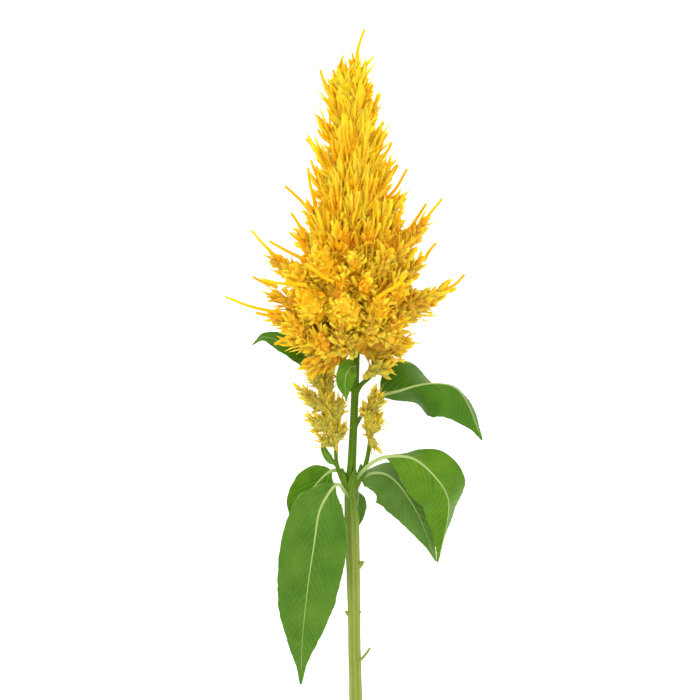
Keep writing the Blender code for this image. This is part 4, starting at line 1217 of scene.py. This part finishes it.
class CELOSIA_OT_stage(bpy.types.Operator):
    """Sets up the floor, the soft lights and the camera above the flower"""
    bl_idname = "celosia.stage"
    bl_label = "Set up stage"

    def execute(self, context):
        scene = context.scene
        sizes = scene.celosia.stage
        shape = bmesh.new()
        bmesh.ops.create_grid(shape, x_segments=1, y_segments=1, size=4.0)
        mesh = bpy.data.meshes.new("floor")
        shape.to_mesh(mesh)
        shape.free()
        paper, tree, shader = new_material("White studio paper", 0.9)
        # A light table: the photo's ground is pure white and takes no shadow.
        set_inputs(tree, shader, {"Base Color": sizes.floor, "Specular IOR Level": 0.1,
                                  "Emission Color": (1.0, 1.0, 1.0), "Emission Strength": 0.7})
        mesh.materials.append(paper)
        floor = bpy.data.objects.new("floor", mesh)
        scene.collection.objects.link(floor)

        for name, where, size, share in LAMPS:
            lamp = bpy.data.lights.new(name, "AREA")
            lamp.shape = "SQUARE"
            lamp.size = size
            lamp.energy = share * sizes.lamp_power
            holder = bpy.data.objects.new(name, lamp)
            scene.collection.objects.link(holder)
            holder.location = where
            way = LIT_PLACE - Vector(where)
            holder.rotation_euler = way.to_track_quat("-Z", "Y").to_euler()
        world = bpy.data.worlds.new("studio")
        world.use_nodes = True
        scene.world = world
        set_inputs(world.node_tree, world.node_tree.nodes["Background"],
                   {"Color": (1.0, 1.0, 1.0), "Strength": 1.15})
        scene.view_settings.view_transform = "Standard"

        camera = bpy.data.cameras.new("camera")
        camera.lens = sizes.lens
        camera.sensor_width = SENSOR
        camera.clip_end = 20.0
        holder = bpy.data.objects.new("camera", camera)
        scene.collection.objects.link(holder)
        holder.location = PHOTO_CENTRE + Vector((0, 0, sizes.span * sizes.lens / SENSOR))
        scene.camera = holder
        return {"FINISHED"}


class CELOSIA_PT_flower(bpy.types.Panel):
    """Lists the pieces of the flower and what can be changed"""
    bl_label = "Plume celosia"
    bl_idname = "CELOSIA_PT_flower"
    bl_space_type = "VIEW_3D"
    bl_region_type = "UI"
    bl_category = "Celosia"

    def draw(self, context):
        for group, operators in GROUPS.items():
            box = self.layout.box()
            for operator in operators:
                box.operator(operator.bl_idname)
            settings = getattr(context.scene.celosia, group)
            for key in settings.__annotations__:
                box.prop(settings, key)


GROUPS = {
    "stem": (CELOSIA_OT_stem,),
    "leaf": (CELOSIA_OT_leaves,),
    "plume": (CELOSIA_OT_plume, CELOSIA_OT_filaments, CELOSIA_OT_side_plumes),
    "stage": (CELOSIA_OT_stage,),
}
CLASSES = (CelosiaPlumeSettings, CelosiaLeafSettings, CelosiaStemSettings, CelosiaStageSettings,
           CelosiaSettings, CELOSIA_OT_stem, CELOSIA_OT_leaves, CELOSIA_OT_plume,
           CELOSIA_OT_filaments, CELOSIA_OT_side_plumes, CELOSIA_OT_stage, CELOSIA_PT_flower)


def register():
    for each in CLASSES:
        bpy.utils.register_class(each)
    bpy.types.Scene.celosia = PointerProperty(type=CelosiaSettings)


def unregister():
    del bpy.types.Scene.celosia
    for each in reversed(CLASSES):
        bpy.utils.unregister_class(each)


def main():
    register()
    bpy.ops.celosia.stem()
    bpy.ops.celosia.leaves()
    bpy.ops.celosia.plume()
    bpy.ops.celosia.filaments()
    bpy.ops.celosia.side_plumes()
    bpy.ops.celosia.stage()


if __name__ == "__main__":
    main()
